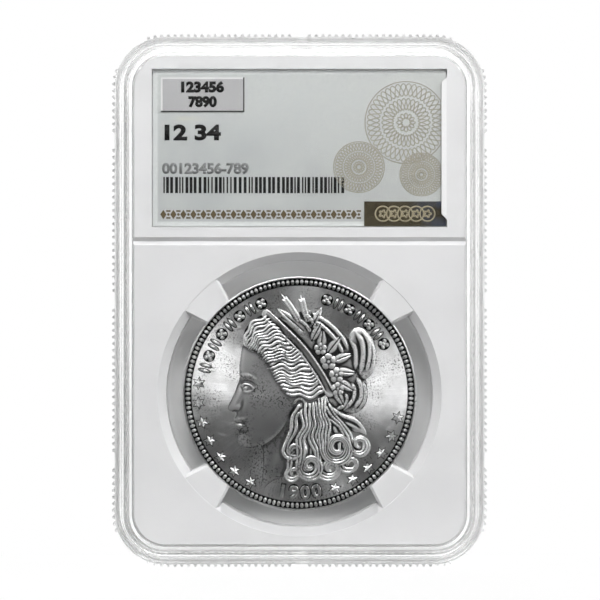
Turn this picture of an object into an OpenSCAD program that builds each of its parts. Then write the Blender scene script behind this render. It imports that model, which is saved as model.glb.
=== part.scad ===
// Sealed two-shell holder for one large silver coin, standing on its bottom
// edge with its front face towards -Y. The origin is on the ground, under the
// middle of the slab.

/* [Slab] */
// Width over the grip teeth
slab_w = 60.3; // [59.5:0.1:66]
// Height over the grip teeth
slab_h = 85.7; // [85:0.1:96]
// Thickness over both stacking rims
slab_t = 8; // [7.8:0.1:9]
// Radius of the outer corners over the teeth
corner_r = 8.5; // [8:0.1:10]

/* [Shells] */
// Perimeter wall of each shell
wall_t = 2.7; // [2.6:0.1:3.2]
// Thickness of each clear window
window_t = 1.1; // [0.9:0.1:1.3]
// Height of a stacking rim over its window
rim_h = 0.8; // [0.6:0.1:1]
// Width of the rear stacking rim
rear_rim_w = 0.85; // [0.7:0.05:0.9]
// Width of the flat top of the front stacking rim
front_rim_w = 0.5; // [0.3:0.05:0.6]
// Gap between the two rims when slabs are stacked
nest_gap = 0.15; // [0.1:0.05:0.3]
// Width of the slope from the front rim down to the window
rim_slope_w = 0.8; // [0.5:0.1:1]
// Round on the outer edges of the shells
edge_round = 0.35; // [0.2:0.05:0.4]
// Width of the weld tongue on the rear shell
tongue_w = 0.7; // [0.5:0.05:0.9]
// Height of the weld tongue
tongue_h = 1; // [0.6:0.1:1.4]
// Clearance round the weld tongue in its groove
weld_gap = 0.05; // [0.03:0.01:0.1]
// Seam between the walls of the two shells
seam_gap = 0.04; // [0.02:0.01:0.1]

/* [Grip] */
// Height of the grip teeth
tooth_h = 0.45; // [0.3:0.05:0.6]
// Distance from one grip tooth to the next
tooth_pitch = 1.07; // [1:0.01:1.6]
// Width of a tooth at its foot
tooth_foot = 0.72; // [0.6:0.02:0.9]
// Width of the flat on top of a tooth
tooth_tip = 0.3; // [0.2:0.02:0.4]
// Width of the plain lands that interrupt the teeth
land_w = 2.2; // [1.5:0.1:6]
// Distance between the lands on each long side
land_pitch = 25.7; // [15:0.1:28]
// Angle in the middle of each corner that has no teeth
corner_plain = 40; // [30:1:60]
// Smooth band between the teeth and the parting line
parting_band = 0.35; // [0.2:0.05:0.6]

/* [Core] */
// Clearance between the core and the shell walls
core_gap = 0.15; // [0.1:0.05:0.3]
// Clearance between the core and each window
window_gap = 0.1; // [0.05:0.05:0.3]
// Bevel round the core's outer edges
core_bevel = 0.25; // [0.1:0.05:0.4]
// Width of the open ring round the coin
ring_w = 2.55; // [2:0.05:2.8]
// Width of the bevel round the coin opening
opening_bevel_w = 1.3; // [1:0.1:1.5]
// Depth of the bevel round the coin opening
opening_bevel_h = 1.1; // [0.8:0.1:1.4]
// Width of the groove between label and coin
fold_w = 1.3; // [1:0.1:1.5]
// Depth of the groove between label and coin
fold_h = 0.5; // [0.3:0.1:0.7]
// Distance from the label window down to the groove
fold_drop = 2.3; // [2:0.1:2.4]

/* [Prongs] */
// Number of prongs that hold the coin
prongs = 4; // [3:1:6]
// Width of a prong at the coin
prong_tip_w = 5.3; // [4:0.1:7]
// Width of a prong where it leaves the core
prong_root_w = 8; // [7:0.1:10]
// How far a prong reaches over the coin's rim
prong_grip = 0.3; // [0.2:0.05:0.5]
// How far the prong faces lie below the core's faces
prong_drop = 0.06; // [0.03:0.01:0.15]
// Bevel along the sides of the prongs
prong_bevel = 0.4; // [0.2:0.05:0.5]
// Clearance round the coin in the prong grooves
coin_gap = 0.05; // [0.03:0.01:0.1]

/* [Coin] */
// Diameter of the coin
coin_d = 38.1; // [37.6:0.1:38.6]
// Thickness of the coin over its rims
coin_t = 2.4; // [2:0.1:2.6]
// Height of the coin's centre over the bottom edge
coin_z = 27.75; // [27.5:0.05:28]
// Width of the coin's raised rim
coin_rim_w = 0.75; // [0.5:0.05:1]
// Depth of the coin's field under its rim
field_h = 0.3; // [0.2:0.05:0.4]
// Number of reeds on the coin's edge
reeds = 120; // [90:1:190]
// Depth of the reeds
reed_h = 0.12; // [0.08:0.01:0.2]
// Number of beads inside the coin's rim
beads = 150; // [90:1:160]
// Length of a bead, from the rim inwards
bead_len = 0.6; // [0.4:0.05:0.9]
// Height of the beads over the field
bead_h = 0.2; // [0.1:0.05:0.2]
// Distance from the coin's centre to the stars
star_ring_r = 16.5; // [16:0.1:16.8]
// Size of a star from its centre to a point
star_r = 0.95; // [0.6:0.05:1.1]
// Height of the stars over the field
star_h = 0.15; // [0.1:0.05:0.2]

/* [Label] */
// Width of the core's border at each side of the label window
label_side = 3.05; // [2:0.05:4]
// Height of the label window in the core
label_h = 25.5; // [24:0.1:25.9]
// Distance from the top of the core to the label window
label_drop = 2.2; // [2.1:0.1:2.4]
// Depth of the label window
label_depth = 0.9; // [0.8:0.1:1]
// Clearance round the label card
card_gap = 0.15; // [0.1:0.05:0.3]
// Thickness of the label card
card_t = 0.3; // [0.2:0.05:0.35]
// Width of the lip over the card's right edge
lip_w = 0.9; // [0.6:0.1:1.4]
// Thickness of the lip over the card's right edge
lip_t = 0.4; // [0.3:0.05:0.45]
// Distance from the window's top corner to the lip
lip_top = 1.3; // [1.2:0.1:3]
// Distance from the window's bottom corner to the lip
lip_bottom = 1.2; // [0.9:0.1:3]
// Width of the sticker on the label card
sticker_w = 13.5; // [10:0.1:20]
// Height of the sticker
sticker_h = 5.6; // [4:0.1:8]
// Thickness of the sticker and of the foil patch
film_t = 0.1; // [0.06:0.01:0.15]
// Distance from the window's left edge to the sticker
sticker_left = 1.4; // [0.5:0.1:4]
// Distance from the window's top edge to the sticker
sticker_drop = 1.3; // [0.5:0.1:4]
// Width of the foil patch in the label's lower right corner
foil_w = 13.2; // [8:0.1:18]
// Height of the foil patch
foil_h = 4; // [3:0.1:6]

/* [Hidden] */
$fn = 96;
eps = 0.01;
sink = 0.3;
half_t = slab_t / 2;
window_z = half_t - rim_h;
cavity_z = window_z - window_t;
body_w = slab_w - 2 * tooth_h;
body_h = slab_h - 2 * tooth_h;
body_r = corner_r - tooth_h;
core_w = body_w - 2 * (wall_t + core_gap);
core_h = body_h - 2 * (wall_t + core_gap);
core_r = body_r - wall_t - core_gap;
core_t = 2 * (cavity_z - window_gap);
core_face = core_t / 2;
front_rim_start = rear_rim_w + nest_gap;
rim_draft = rim_h / 8;
window_overlap = 1;
tongue_start = (wall_t - tongue_w) / 2;
seam = seam_gap / 2;
coin_y = coin_z - slab_h / 2;
coin_r = coin_d / 2;
opening_r = coin_r + ring_w;
bevel_r = opening_r + opening_bevel_w;
prong_tip_r = coin_r - prong_grip;
prong_face = core_face - prong_drop;
label_w = core_w - 2 * label_side;
label_y = core_h / 2 - label_drop - label_h / 2;
label_floor = core_face - label_depth;
card_face = label_floor + card_t;
fold_y = label_y - label_h / 2 - fold_drop;
coin_face = coin_t / 2 - field_h;
stars_left = 7;
stars_right = 6;
star_step = 11.15;
first_left_star = 241;
first_right_star = 290.5;

// ---- Shared shapes -------------------------------------------------------

// Drawings lie flat and face up: this stands them on the bottom edge.
module stand_up() {
    translate([0, 0, slab_h / 2])
        rotate([90, 0, 0])
            children();
}

module at_coin() {
    translate([0, coin_y, 0])
        children();
}

module rounded_rect(w, h, r) {
    square([w - 2 * r, h], center = true);
    square([w, h - 2 * r], center = true);
    for (x = [-1, 1], y = [-1, 1])
        translate([x * (w / 2 - r), y * (h / 2 - r)])
            circle(r);
}

// Carries a profile round a rounded rectangle. The profile's x runs inwards
// from the outline and its y is the height.
module round_outline(w, h, r) {
    for (turn = [0:3]) {
        half = (turn % 2 == 0 ? w : h) / 2;
        run = (turn % 2 == 0 ? h : w) - 2 * r;
        rotate(90 * turn) {
            translate([half, run / 2, 0])
                rotate([90, 0, 0])
                    linear_extrude(run)
                        mirror([1, 0])
                            children();
            translate([half - r, run / 2, 0])
                rotate_extrude(angle = 90)
                    translate([r, 0])
                        mirror([1, 0])
                            children();
        }
    }
}

function turned(p, a) = [p.x * cos(a) - p.y * sin(a), p.x * sin(a) + p.y * cos(a)];

// One tooth as four points: along the edge, and out from its foot.
function tooth(at, foot, tip, rise) =
    [[at - foot / 2, 0], [at - tip / 2, rise], [at + tip / 2, rise], [at + foot / 2, 0]];

function on_land(at, lands) = len([for (c = lands) if (abs(at - c) < land_w / 2) 1]) > 0;

// Teeth along one straight side, left out on its lands.
function side_teeth(run, lands) =
    let (n = floor(run / tooth_pitch))
    [for (i = [0:n - 1])
        let (at = (i + 0.5 - n / 2) * run / n)
        if (!on_land(at, lands))
            for (p = tooth(at, tooth_foot, tooth_tip, tooth_h)) p];

// Teeth round a circle or a part of one: angle and radius for each point.
// The middle of the span can stay plain.
function arc_teeth(r, span, n, foot, tip, rise, plain = 0) =
    [for (i = [0:n - 1])
        let (at = (i + 0.5) * span / n)
        each abs(at - span / 2) < plain / 2 ? [[at, r]]
            : [for (p = tooth(r * at * PI / 180, foot, tip, rise)) [p.x / r * 180 / PI, r + p.y]]];

function polar(p) = [p.y * cos(p.x), p.y * sin(p.x)];

// The slab's outline with its grip teeth, one side and one corner at a time.
function grip_outline() =
    let (corner_teeth = round(body_r * PI / 2 / tooth_pitch))
    [for (turn = [0:3])
        let (
            long = turn % 2 == 0,
            half = (long ? body_w : body_h) / 2,
            run = (long ? body_h : body_w) - 2 * body_r,
            lands = long ? [-land_pitch, 0, land_pitch] : [0],
            side = [for (p = side_teeth(run, lands)) [half + p.y, p.x]],
            arc = arc_teeth(body_r, 90, corner_teeth, tooth_foot, tooth_tip, tooth_h, corner_plain),
            corner = [for (p = arc)
                polar(p) + [half - body_r, run / 2]]
        )
        for (p = concat(side, corner)) turned(p, 90 * turn)];

// ---- Clear shells --------------------------------------------------------

module grip_band() {
    translate([0, 0, parting_band])
        linear_extrude(window_z - edge_round - 2 * parting_band)
            difference() {
                polygon(grip_outline());
                rounded_rect(body_w - 2 * sink, body_h - 2 * sink, body_r - sink);
            }
}

module window_plate() {
    inset = wall_t + window_overlap - sink;
    translate([0, 0, cavity_z])
        linear_extrude(window_t)
            rounded_rect(body_w - 2 * inset, body_h - 2 * inset, body_r - inset);
}

// Wall, shoulder, stacking rim and slope of the front shell.
module front_profile() {
    rim_out = front_rim_start + rim_draft;
    rim_in = rim_out + front_rim_w;
    difference() {
        union() {
            translate([0, seam])
                square([wall_t, window_z - edge_round - seam]);
            translate([edge_round, seam])
                square([wall_t - edge_round, window_z - seam]);
            translate([edge_round, window_z - edge_round])
                circle(edge_round);
            translate([wall_t - sink, cavity_z])
                square([window_overlap + sink, window_t]);
            polygon([
                [front_rim_start, window_z - sink],
                [front_rim_start, window_z],
                [rim_out, half_t],
                [rim_in, half_t],
                [rim_in + rim_slope_w, window_z],
                [rim_in + rim_slope_w, window_z - sink]
            ]);
        }
        translate([tongue_start - weld_gap, -eps])
            square([tongue_w + 2 * weld_gap, tongue_h + weld_gap + eps]);
    }
}

// Wall and stacking rim of the rear shell, drawn with its window upwards.
module rear_profile() {
    translate([0, seam])
        square([wall_t, window_z - seam]);
    square([rear_rim_w - rim_draft, half_t - edge_round]);
    translate([edge_round, window_z - sink])
        square([rear_rim_w - edge_round - rim_draft, rim_h + sink]);
    translate([edge_round, half_t - edge_round])
        circle(edge_round);
    polygon([
        [rear_rim_w - rim_draft - eps, half_t],
        [rear_rim_w - rim_draft - eps, window_z - sink],
        [rear_rim_w, window_z - sink],
        [rear_rim_w, window_z],
        [rear_rim_w - rim_draft, half_t]
    ]);
    translate([wall_t - sink, cavity_z])
        square([window_overlap + sink, window_t]);
    translate([tongue_start, -tongue_h])
        square([tongue_w, tongue_h + sink]);
}

module front_shell() {
    color([0.93, 0.96, 0.97, 0.35])
        stand_up() {
            round_outline(body_w, body_h, body_r)
                front_profile();
            window_plate();
            grip_band();
        }
}

module rear_shell() {
    color([0.90, 0.94, 0.96, 0.35])
        stand_up()
            mirror([0, 0, 1]) {
                round_outline(body_w, body_h, body_r)
                    rear_profile();
                window_plate();
                grip_band();
            }
}

// ---- White core ----------------------------------------------------------

module core_plate() {
    flat = core_face - core_bevel;
    translate([0, 0, -core_face])
        linear_extrude(core_t)
            rounded_rect(core_w - 2 * core_bevel, core_h - 2 * core_bevel, core_r - core_bevel);
    round_outline(core_w, core_h, core_r)
        polygon([
            [0, -flat],
            [0, flat],
            [core_bevel, core_face],
            [core_bevel + sink, core_face],
            [core_bevel + sink, -core_face],
            [core_bevel, -core_face]
        ]);
}

module coin_opening() {
    throat = core_face - opening_bevel_h;
    at_coin()
        rotate_extrude()
            polygon([
                [0, -core_face - 1],
                [bevel_r, -core_face - 1],
                [bevel_r, -core_face],
                [opening_r, -throat],
                [opening_r, throat],
                [bevel_r, core_face],
                [bevel_r, core_face + 1],
                [0, core_face + 1]
            ]);
}

// Bevel cut along one upper edge of a prong, from the tip corner outwards.
module prong_side_cut(side, face) {
    flare = atan((prong_root_w - prong_tip_w) / 2 / (bevel_r - prong_tip_r));
    leg = prong_bevel * sqrt(2);
    translate([prong_tip_r, side * prong_tip_w / 2, face * prong_face])
        rotate(side * flare)
            rotate([45, 0, 0])
                cube([4 * ring_w + 4 * opening_bevel_w, leg, leg], center = true);
}

// One prong along +X, grooved at its tip for the coin's edge.
module prong() {
    reach = sink + 0.2;
    root_w = prong_root_w + reach * (prong_root_w - prong_tip_w) / (bevel_r - prong_tip_r);
    difference() {
        translate([0, 0, -prong_face])
            linear_extrude(2 * prong_face)
                difference() {
                    polygon([
                        [prong_tip_r - 1, -prong_tip_w / 2],
                        [prong_tip_r, -prong_tip_w / 2],
                        [bevel_r + reach, -root_w / 2],
                        [bevel_r + reach, root_w / 2],
                        [prong_tip_r, prong_tip_w / 2],
                        [prong_tip_r - 1, prong_tip_w / 2]
                    ]);
                    circle(prong_tip_r);
                }
        for (side = [-1, 1], face = [-1, 1])
            prong_side_cut(side, face);
        cylinder(r = coin_r + coin_gap, h = coin_t + 2 * coin_gap, center = true);
    }
}

module label_window() {
    translate([0, label_y, label_floor])
        linear_extrude(label_depth + 1)
            square([label_w, label_h], center = true);
}

// Lip over the card's right edge, with slanted ends.
module label_lip() {
    right = label_w / 2;
    top = label_h / 2 - lip_top;
    bottom = -label_h / 2 + lip_bottom;
    translate([0, label_y, core_face - lip_t])
        linear_extrude(lip_t)
            polygon([
                [right + sink, bottom],
                [right + sink, top],
                [right, top],
                [right - lip_w, top - lip_w],
                [right - lip_w, bottom + lip_w],
                [right, bottom]
            ]);
}

module fold_groove() {
    translate([0, fold_y, core_face])
        rotate([90, 0, 90])
            linear_extrude(core_w + 2, center = true)
                polygon([
                    [-fold_w / 2, 0],
                    [-fold_w / 2, 1],
                    [fold_w / 2, 1],
                    [fold_w / 2, 0],
                    [0, -fold_h]
                ]);
}

module core() {
    color("white")
        stand_up() {
            difference() {
                core_plate();
                coin_opening();
                label_window();
                fold_groove();
            }
            at_coin()
                for (i = [0:prongs - 1])
                    rotate(45 + i * 360 / prongs)
                        prong();
            label_lip();
        }
}

// ---- Coin ----------------------------------------------------------------

module coin_blank() {
    intersection() {
        rotate_extrude()
            polygon([
                [0, -coin_face],
                [coin_r - coin_rim_w - 0.1, -coin_face],
                [coin_r - coin_rim_w, -coin_t / 2],
                [coin_r - 0.15, -coin_t / 2],
                [coin_r + eps, -coin_t / 2 + 0.15],
                [coin_r + eps, coin_t / 2 - 0.15],
                [coin_r - 0.15, coin_t / 2],
                [coin_r - coin_rim_w, coin_t / 2],
                [coin_r - coin_rim_w - 0.1, coin_face],
                [0, coin_face]
            ]);
        reed_pitch = 2 * PI * coin_r / reeds;
        linear_extrude(coin_t + 1, center = true)
            polygon([for (p = arc_teeth(coin_r - reed_h, 360, reeds,
                                        0.8 * reed_pitch, 0.35 * reed_pitch, reed_h))
                polar(p)]);
    }
}

// Ring of beads against the inside of the rim, on both faces.
module bead_ring() {
    outer = coin_r - coin_rim_w + sink / 2;
    inner = coin_r - coin_rim_w - bead_len;
    bead_pitch = 2 * PI * outer / beads;
    height = 2 * (coin_face + bead_h);
    linear_extrude(height, center = true)
        difference() {
            circle(outer);
            polygon([for (p = arc_teeth(inner, 360, beads,
                                        0.5 * bead_pitch, 0.3 * bead_pitch, bead_len - 0.15))
                polar(p)]);
        }
}

module star(r) {
    polygon([for (i = [0:11]) (i % 2 == 0 ? r : 0.5 * r) * [cos(30 * i), sin(30 * i)]]);
}

// Stars up both sides of the front face, with the bottom left free.
module star_ring() {
    angles = concat(
        [for (i = [0:stars_left - 1]) first_left_star - i * star_step],
        [for (i = [0:stars_right - 1]) first_right_star + i * star_step]
    );
    for (a = angles)
        rotate(a)
            translate([star_ring_r, 0, coin_face - sink])
                linear_extrude(star_h + sink)
                    star(star_r);
}

module coin() {
    color("silver")
        stand_up()
            at_coin() {
                coin_blank();
                bead_ring();
                star_ring();
            }
}

// ---- Label ---------------------------------------------------------------

module label_card() {
    color([0.76, 0.78, 0.77])
        stand_up()
            translate([0, label_y, label_floor])
                linear_extrude(card_t)
                    square([label_w - 2 * card_gap, label_h - 2 * card_gap], center = true);
}

module grade_sticker() {
    x = -label_w / 2 + sticker_left;
    y = label_y + label_h / 2 - sticker_drop - sticker_h;
    color([0.69, 0.69, 0.69])
        stand_up()
            translate([x, y, card_face])
                cube([sticker_w, sticker_h, film_t]);
}

module foil_patch() {
    x = label_w / 2 - card_gap - foil_w;
    y = label_y - label_h / 2 + card_gap;
    color([0.33, 0.30, 0.24])
        stand_up()
            translate([x, y, card_face])
                cube([foil_w, foil_h, film_t]);
}

front_shell();
rear_shell();
core();
coin();
label_card();
grade_sticker();
foil_patch();
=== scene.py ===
import math

import bpy
import numpy as np
from mathutils import Matrix, Vector


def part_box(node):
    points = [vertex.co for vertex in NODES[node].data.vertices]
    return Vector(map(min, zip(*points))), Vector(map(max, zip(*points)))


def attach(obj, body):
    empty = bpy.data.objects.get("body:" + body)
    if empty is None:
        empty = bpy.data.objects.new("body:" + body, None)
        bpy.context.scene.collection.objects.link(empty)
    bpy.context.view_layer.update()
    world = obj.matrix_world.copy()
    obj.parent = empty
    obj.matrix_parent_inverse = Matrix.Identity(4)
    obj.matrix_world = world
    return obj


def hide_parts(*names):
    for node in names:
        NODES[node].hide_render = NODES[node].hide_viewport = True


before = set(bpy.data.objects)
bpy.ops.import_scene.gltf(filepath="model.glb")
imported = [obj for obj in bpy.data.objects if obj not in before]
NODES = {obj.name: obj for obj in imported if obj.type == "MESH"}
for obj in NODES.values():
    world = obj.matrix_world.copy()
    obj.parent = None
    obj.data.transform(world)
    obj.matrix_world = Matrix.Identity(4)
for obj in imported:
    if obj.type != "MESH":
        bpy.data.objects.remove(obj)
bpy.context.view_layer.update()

MM = 0.001

# Places read from the frame, in metres.
coin_lo, coin_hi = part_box("coin")
COIN = (coin_lo + coin_hi) / 2
COIN_R = (coin_hi.x - coin_lo.x) / 2
card_lo, card_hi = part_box("label_card")
sticker_lo, sticker_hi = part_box("grade_sticker")
foil_lo, foil_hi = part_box("foil_patch")
core_lo, core_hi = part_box("core")
shell_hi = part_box("front_shell")[1]
SLAB_MID = (core_lo.z + core_hi.z) / 2
# Radius of the slab's rounded corners.
SLAB_CORNER = 8.5 * MM


# ---- Modelling helpers ---------------------------------------------------

def deselect():
    active = bpy.context.object
    if active and active.mode != "OBJECT":
        bpy.ops.object.mode_set(mode="OBJECT")
    bpy.ops.object.select_all(action="DESELECT")


def pick(*pieces):
    deselect()
    for piece in pieces:
        piece.select_set(True)
    bpy.context.view_layer.objects.active = pieces[0]


def edit(piece, kind="FACE", action="SELECT"):
    """Opens a piece for editing, with all of it selected or nothing."""
    pick(piece)
    bpy.ops.object.mode_set(mode="EDIT")
    bpy.ops.mesh.select_mode(type=kind)
    bpy.ops.mesh.select_all(action=action)


def close():
    """Ends the editing of a piece."""
    bpy.ops.object.mode_set(mode="OBJECT")


def choose(piece, test):
    """Opens a piece with the vertices selected whose place passes the test."""
    edit(piece, "VERT", "DESELECT")
    close()
    for vertex in piece.data.vertices:
        vertex.select = test(vertex.co)
    bpy.ops.object.mode_set(mode="EDIT")


def extrude(x, y, z):
    bpy.ops.mesh.extrude_region_move(TRANSFORM_OT_translate={"value": (x, y, z)})


def settle(piece):
    """Puts the piece's place into its mesh and its object at the origin."""
    pick(piece)
    bpy.ops.object.transform_apply(location=True, rotation=True, scale=True)
    return piece


def joined(pieces):
    pick(*pieces)
    if len(pieces) > 1:
        bpy.ops.object.join()
    return bpy.context.object


def linked(name, data):
    """A new object of the scene with the given mesh, curve or light."""
    made = bpy.data.objects.new(name, data)
    bpy.context.scene.collection.objects.link(made)
    return made


def facing_out(piece, merge=1e-7):
    edit(piece)
    bpy.ops.mesh.remove_doubles(threshold=merge)
    bpy.ops.mesh.normals_make_consistent(inside=False)
    close()
    return piece


def mark_painted_shade(mesh, values):
    """Tells the material how much painted shade each vertex gets, from 0 on a crest to 1 in a gap."""
    mesh.attributes.new("painted_shade", "FLOAT", "POINT").data.foreach_set("value", values)


def figures(words, **settings):
    """Digits as a mesh, with its origin in its middle."""
    deselect()
    bpy.ops.object.text_add()
    text = bpy.context.object.data
    text.body = words
    text.resolution_u = 4
    for key, value in settings.items():
        setattr(text, key, value)
    bpy.ops.object.convert(target="MESH")
    bpy.ops.object.origin_set(type="ORIGIN_GEOMETRY", center="BOUNDS")
    return bpy.context.object


def give(piece, material):
    piece.data.materials.clear()
    piece.data.materials.append(material)


def add_piece(piece, name, material, slot, stands_for=None):
    """Names a finished piece, gives it its finish and lets it ride with the slab."""
    settle(piece)
    piece.name = name
    piece.data.name = name
    give(piece, material)
    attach(piece, "root")
    if stands_for:
        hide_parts(stands_for)


# ---- Relief modelling ----------------------------------------------------
# A relief is a height field over the coin's face: u to the right and v up
# from the coin's centre, heights over the field, all in millimetres.

SUNK = -0.12


def spline(points, steps=8, closed=False):
    """A smooth curve through the points."""
    p = np.array(points, dtype=float)
    if closed:
        p = np.vstack([p[-1], p, p[0], p[1]])
    else:
        p = np.vstack([2 * p[0] - p[1], p, 2 * p[-1] - p[-2]])
    t = np.linspace(0, 1, steps, endpoint=False)[:, None]
    spans = []
    for a, b, c, d in zip(p, p[1:], p[2:], p[3:]):
        cubic = (3 * b - 3 * c + d - a) * t ** 3
        spans.append(0.5 * (2 * b + (c - a) * t + (2 * a - 5 * b + 4 * c - d) * t ** 2 + cubic))
    if not closed:
        spans.append(p[-2][None])
    return np.vstack(spans)


def even(path, count=40):
    """The same path as points at equal steps."""
    along = np.r_[0, np.cumsum(np.hypot(*np.diff(path, axis=0).T))]
    at = np.linspace(0, along[-1], count)
    return np.column_stack([np.interp(at, along, path[:, 0]), np.interp(at, along, path[:, 1])])


def curve(points, count=40):
    return even(spline(points), count)


def turned(points, degrees):
    c, s = math.cos(math.radians(degrees)), math.sin(math.radians(degrees))
    return np.asarray(points, dtype=float) @ np.array([[c, s], [-s, c]])


def spiral(centre, outer, inner, start, turns, count=50):
    angle = math.radians(start) + np.linspace(0, turns * 2 * math.pi, count)
    r = np.linspace(outer, inner, count)
    return np.column_stack([centre[0] + r * np.cos(angle), centre[1] + r * np.sin(angle)])


def offset(path, distance):
    """The path moved sideways, to its left."""
    step = np.gradient(path, axis=0)
    left = np.column_stack([-step[:, 1], step[:, 0]]) / np.hypot(*step.T)[:, None]
    return path + left * np.reshape(distance, (-1, 1))


def heading(path, at):
    """Direction of a path at one of its points, in degrees."""
    return math.degrees(math.atan2(*(path[at + 1] - path[at - 1])[::-1]))


def swell(x):
    """Quarter-round rise from 0 to 1."""
    return np.sqrt(1 - (1 - np.clip(x, 0, 1)) ** 2)


class Relief:
    """Heights on an even grid; bare holds the skin before hair and dress cover it."""

    def __init__(self, u_from, u_to, v_from, v_to, step):
        self.step = step
        self.us = np.arange(u_from, u_to + step / 2, step)
        self.vs = np.arange(v_from, v_to + step / 2, step)
        self.u, self.v = [g.astype(np.float32) for g in np.meshgrid(self.us, self.vs)]
        self.h = np.full(self.u.shape, SUNK, np.float32)
        self.bare = np.full(self.u.shape, SUNK, np.float32)

    def near(self, path, pad):
        """The grid window round a path, with the distance to it and the place along it."""
        lo, hi = path.min(0) - pad, path.max(0) + pad
        cols = slice(*np.searchsorted(self.us, [lo[0], hi[0]]))
        rows = slice(*np.searchsorted(self.vs, [lo[1], hi[1]]))
        window = (rows, cols)
        a = path[:-1].astype(np.float32)
        d = np.diff(path, axis=0).astype(np.float32)
        du = self.u[window][..., None] - a[:, 0]
        dv = self.v[window][..., None] - a[:, 1]
        k = np.clip((du * d[:, 0] + dv * d[:, 1]) / np.maximum((d ** 2).sum(1), 1e-9), 0, 1)
        gap = (du - k * d[:, 0]) ** 2 + (dv - k * d[:, 1]) ** 2
        best = gap.argmin(-1)[..., None]
        place = (best + np.take_along_axis(k, best, -1)) / len(d)
        return window, np.sqrt(np.take_along_axis(gap, best, -1))[..., 0], place[..., 0]

    def inside(self, outline):
        hit = np.zeros(self.u.shape, bool)
        for (a, b), (c, d) in zip(outline, np.roll(outline, -1, axis=0)):
            if b != d:
                hit ^= ((b > self.v) != (d > self.v)) & (self.u < (c - a) * (self.v - b) / (d - b) + a)
        return hit

    def depth(self, outline):
        """Distance inside the outline, 0 outside it."""
        window, gap, _ = self.near(np.vstack([outline, outline[:1]]), 2 * self.step)
        inner = np.zeros(self.u.shape, np.float32)
        inner[window] = gap
        return inner * self.inside(outline)

    def blob(self, u, v, wide, high, turn=0.0):
        c, s = math.cos(math.radians(turn)), math.sin(math.radians(turn))
        du, dv = self.u - u, self.v - v
        return np.exp(-((du * c + dv * s) / wide) ** 2 - ((dv * c - du * s) / high) ** 2)

    def raise_shape(self, points, height, edge, base=0.0, smooth=True):
        outline = spline(points, 6, True) if smooth else np.array(points, dtype=float)
        depth = self.depth(outline)
        lift = np.where(depth > 0, base + height * swell(depth / edge), SUNK)
        self.h = np.maximum(self.h, lift)

    def groove(self, path, width, depth, fade=True):
        """A soft valley along a path, or a ridge where the depth is negative."""
        window, gap, place = self.near(path, 2 * width)
        ends = np.sqrt(np.clip(np.sin(math.pi * place), 0, 1)) if fade else 1
        self.h[window] -= depth * np.exp(-(gap / width) ** 2) * ends

    def strand(self, path, radius, level, ridge, taper=(0.15, 0.25), dip=0.0):
        """A round thread laid on what is there, thin at its ends; dip lowers its start."""
        window, gap, place = self.near(path, radius + self.step)
        ends = np.clip(place / taper[0], 0, 1) * np.clip((1 - place) / taper[1], 0, 1)
        x = gap / (radius * (0.35 + 0.65 * np.sqrt(ends)))
        dome = np.sqrt(np.clip(1 - x ** 2, 0, 1))
        crest = level * (0.8 + 0.2 * ends) + ridge * dome * (0.4 + 0.6 * ends)
        lift = np.where(x < 1, crest - dip * np.clip(1 - place / 0.2, 0, 1), SUNK)
        self.h[window] = np.maximum(self.h[window], lift)

    def lock(self, left, right, strands, level, ridge=0.11, fat=0.56, wave=0.0, beat=2.0, phase=0.0,
             taper=(0.1, 0.15)):
        """Hair combed between two guide paths, higher in the middle."""
        t = np.linspace(0, 1, len(left))
        spread = np.hypot(*(left[len(left) // 2] - right[len(right) // 2]))
        for i in range(strands):
            q = (i + 0.5) / strands
            path = left * (1 - q) + right * q
            sway = wave * np.sin(2 * math.pi * (beat * t + phase + 0.15 * q)) * np.clip(4 * t, 0, 1)
            height = level + 0.05 * math.sin(math.pi * q) + 0.014 * math.sin(11 * i + 7 * phase)
            self.strand(offset(path, sway), fat * spread / strands, height, ridge, taper)

    def ringlet(self, points, centre, radius, turns, width, strands, level):
        """A lock that falls along a path and rolls up into a curl at its end."""
        start = (centre[0] - radius, centre[1])
        roll = spiral(centre, radius, 0.25 * radius, 180, turns)
        middle = even(np.vstack([spline([*points, start]), roll[1:]]), 110)
        t = np.linspace(0, 1, len(middle))
        narrow = 1 - 0.55 * t
        loose = 0.16 * np.clip(3 * (1 - t), 0, 1)
        for i in range(strands):
            side = (i + 0.5) / strands - 0.5
            sway = loose * np.sin(2 * math.pi * (3.2 * t + 0.3 * side + centre[0]))
            path = offset(middle, width * side * narrow + sway)
            height = level + 0.06 * math.cos(math.pi * side) + 0.012 * math.sin(9 * i + 5 * centre[0])
            self.strand(path, 0.42 * width / strands, height, 0.22, (0.04, 0.06), 0.1)

    def leaf(self, base, length, width, turn, level):
        t = np.linspace(0, 1, 15)
        half = width / 2 * np.sin(math.pi * t ** 0.8) ** 0.9
        upper, lower = [np.column_stack([t * length, edge]) for edge in (half, -half)]
        sides = np.vstack([upper, lower[-2:0:-1]])
        self.raise_shape(turned(sides, turn) + base, 0.09, width / 2.2, level, smooth=False)
        rib = turned([(0, 0), (0.5 * length, 0), (0.95 * length, 0)], turn) + base
        self.groove(rib, 0.11, 0.07, fade=False)

    def flower(self, centre, radius, level, petals=5):
        spots = [turned([(0.6 * radius, 0)], 360 * i / petals + 20)[0] for i in range(petals)] + [(0, 0)]
        for du, dv in spots:
            size = 0.42 * radius if du or dv else 0.3 * radius
            lift = self.blob(centre[0] + du, centre[1] + dv, size, size)
            self.h = np.where(lift > 0.35, np.maximum(self.h, level + 0.08 * lift), self.h)

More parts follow.
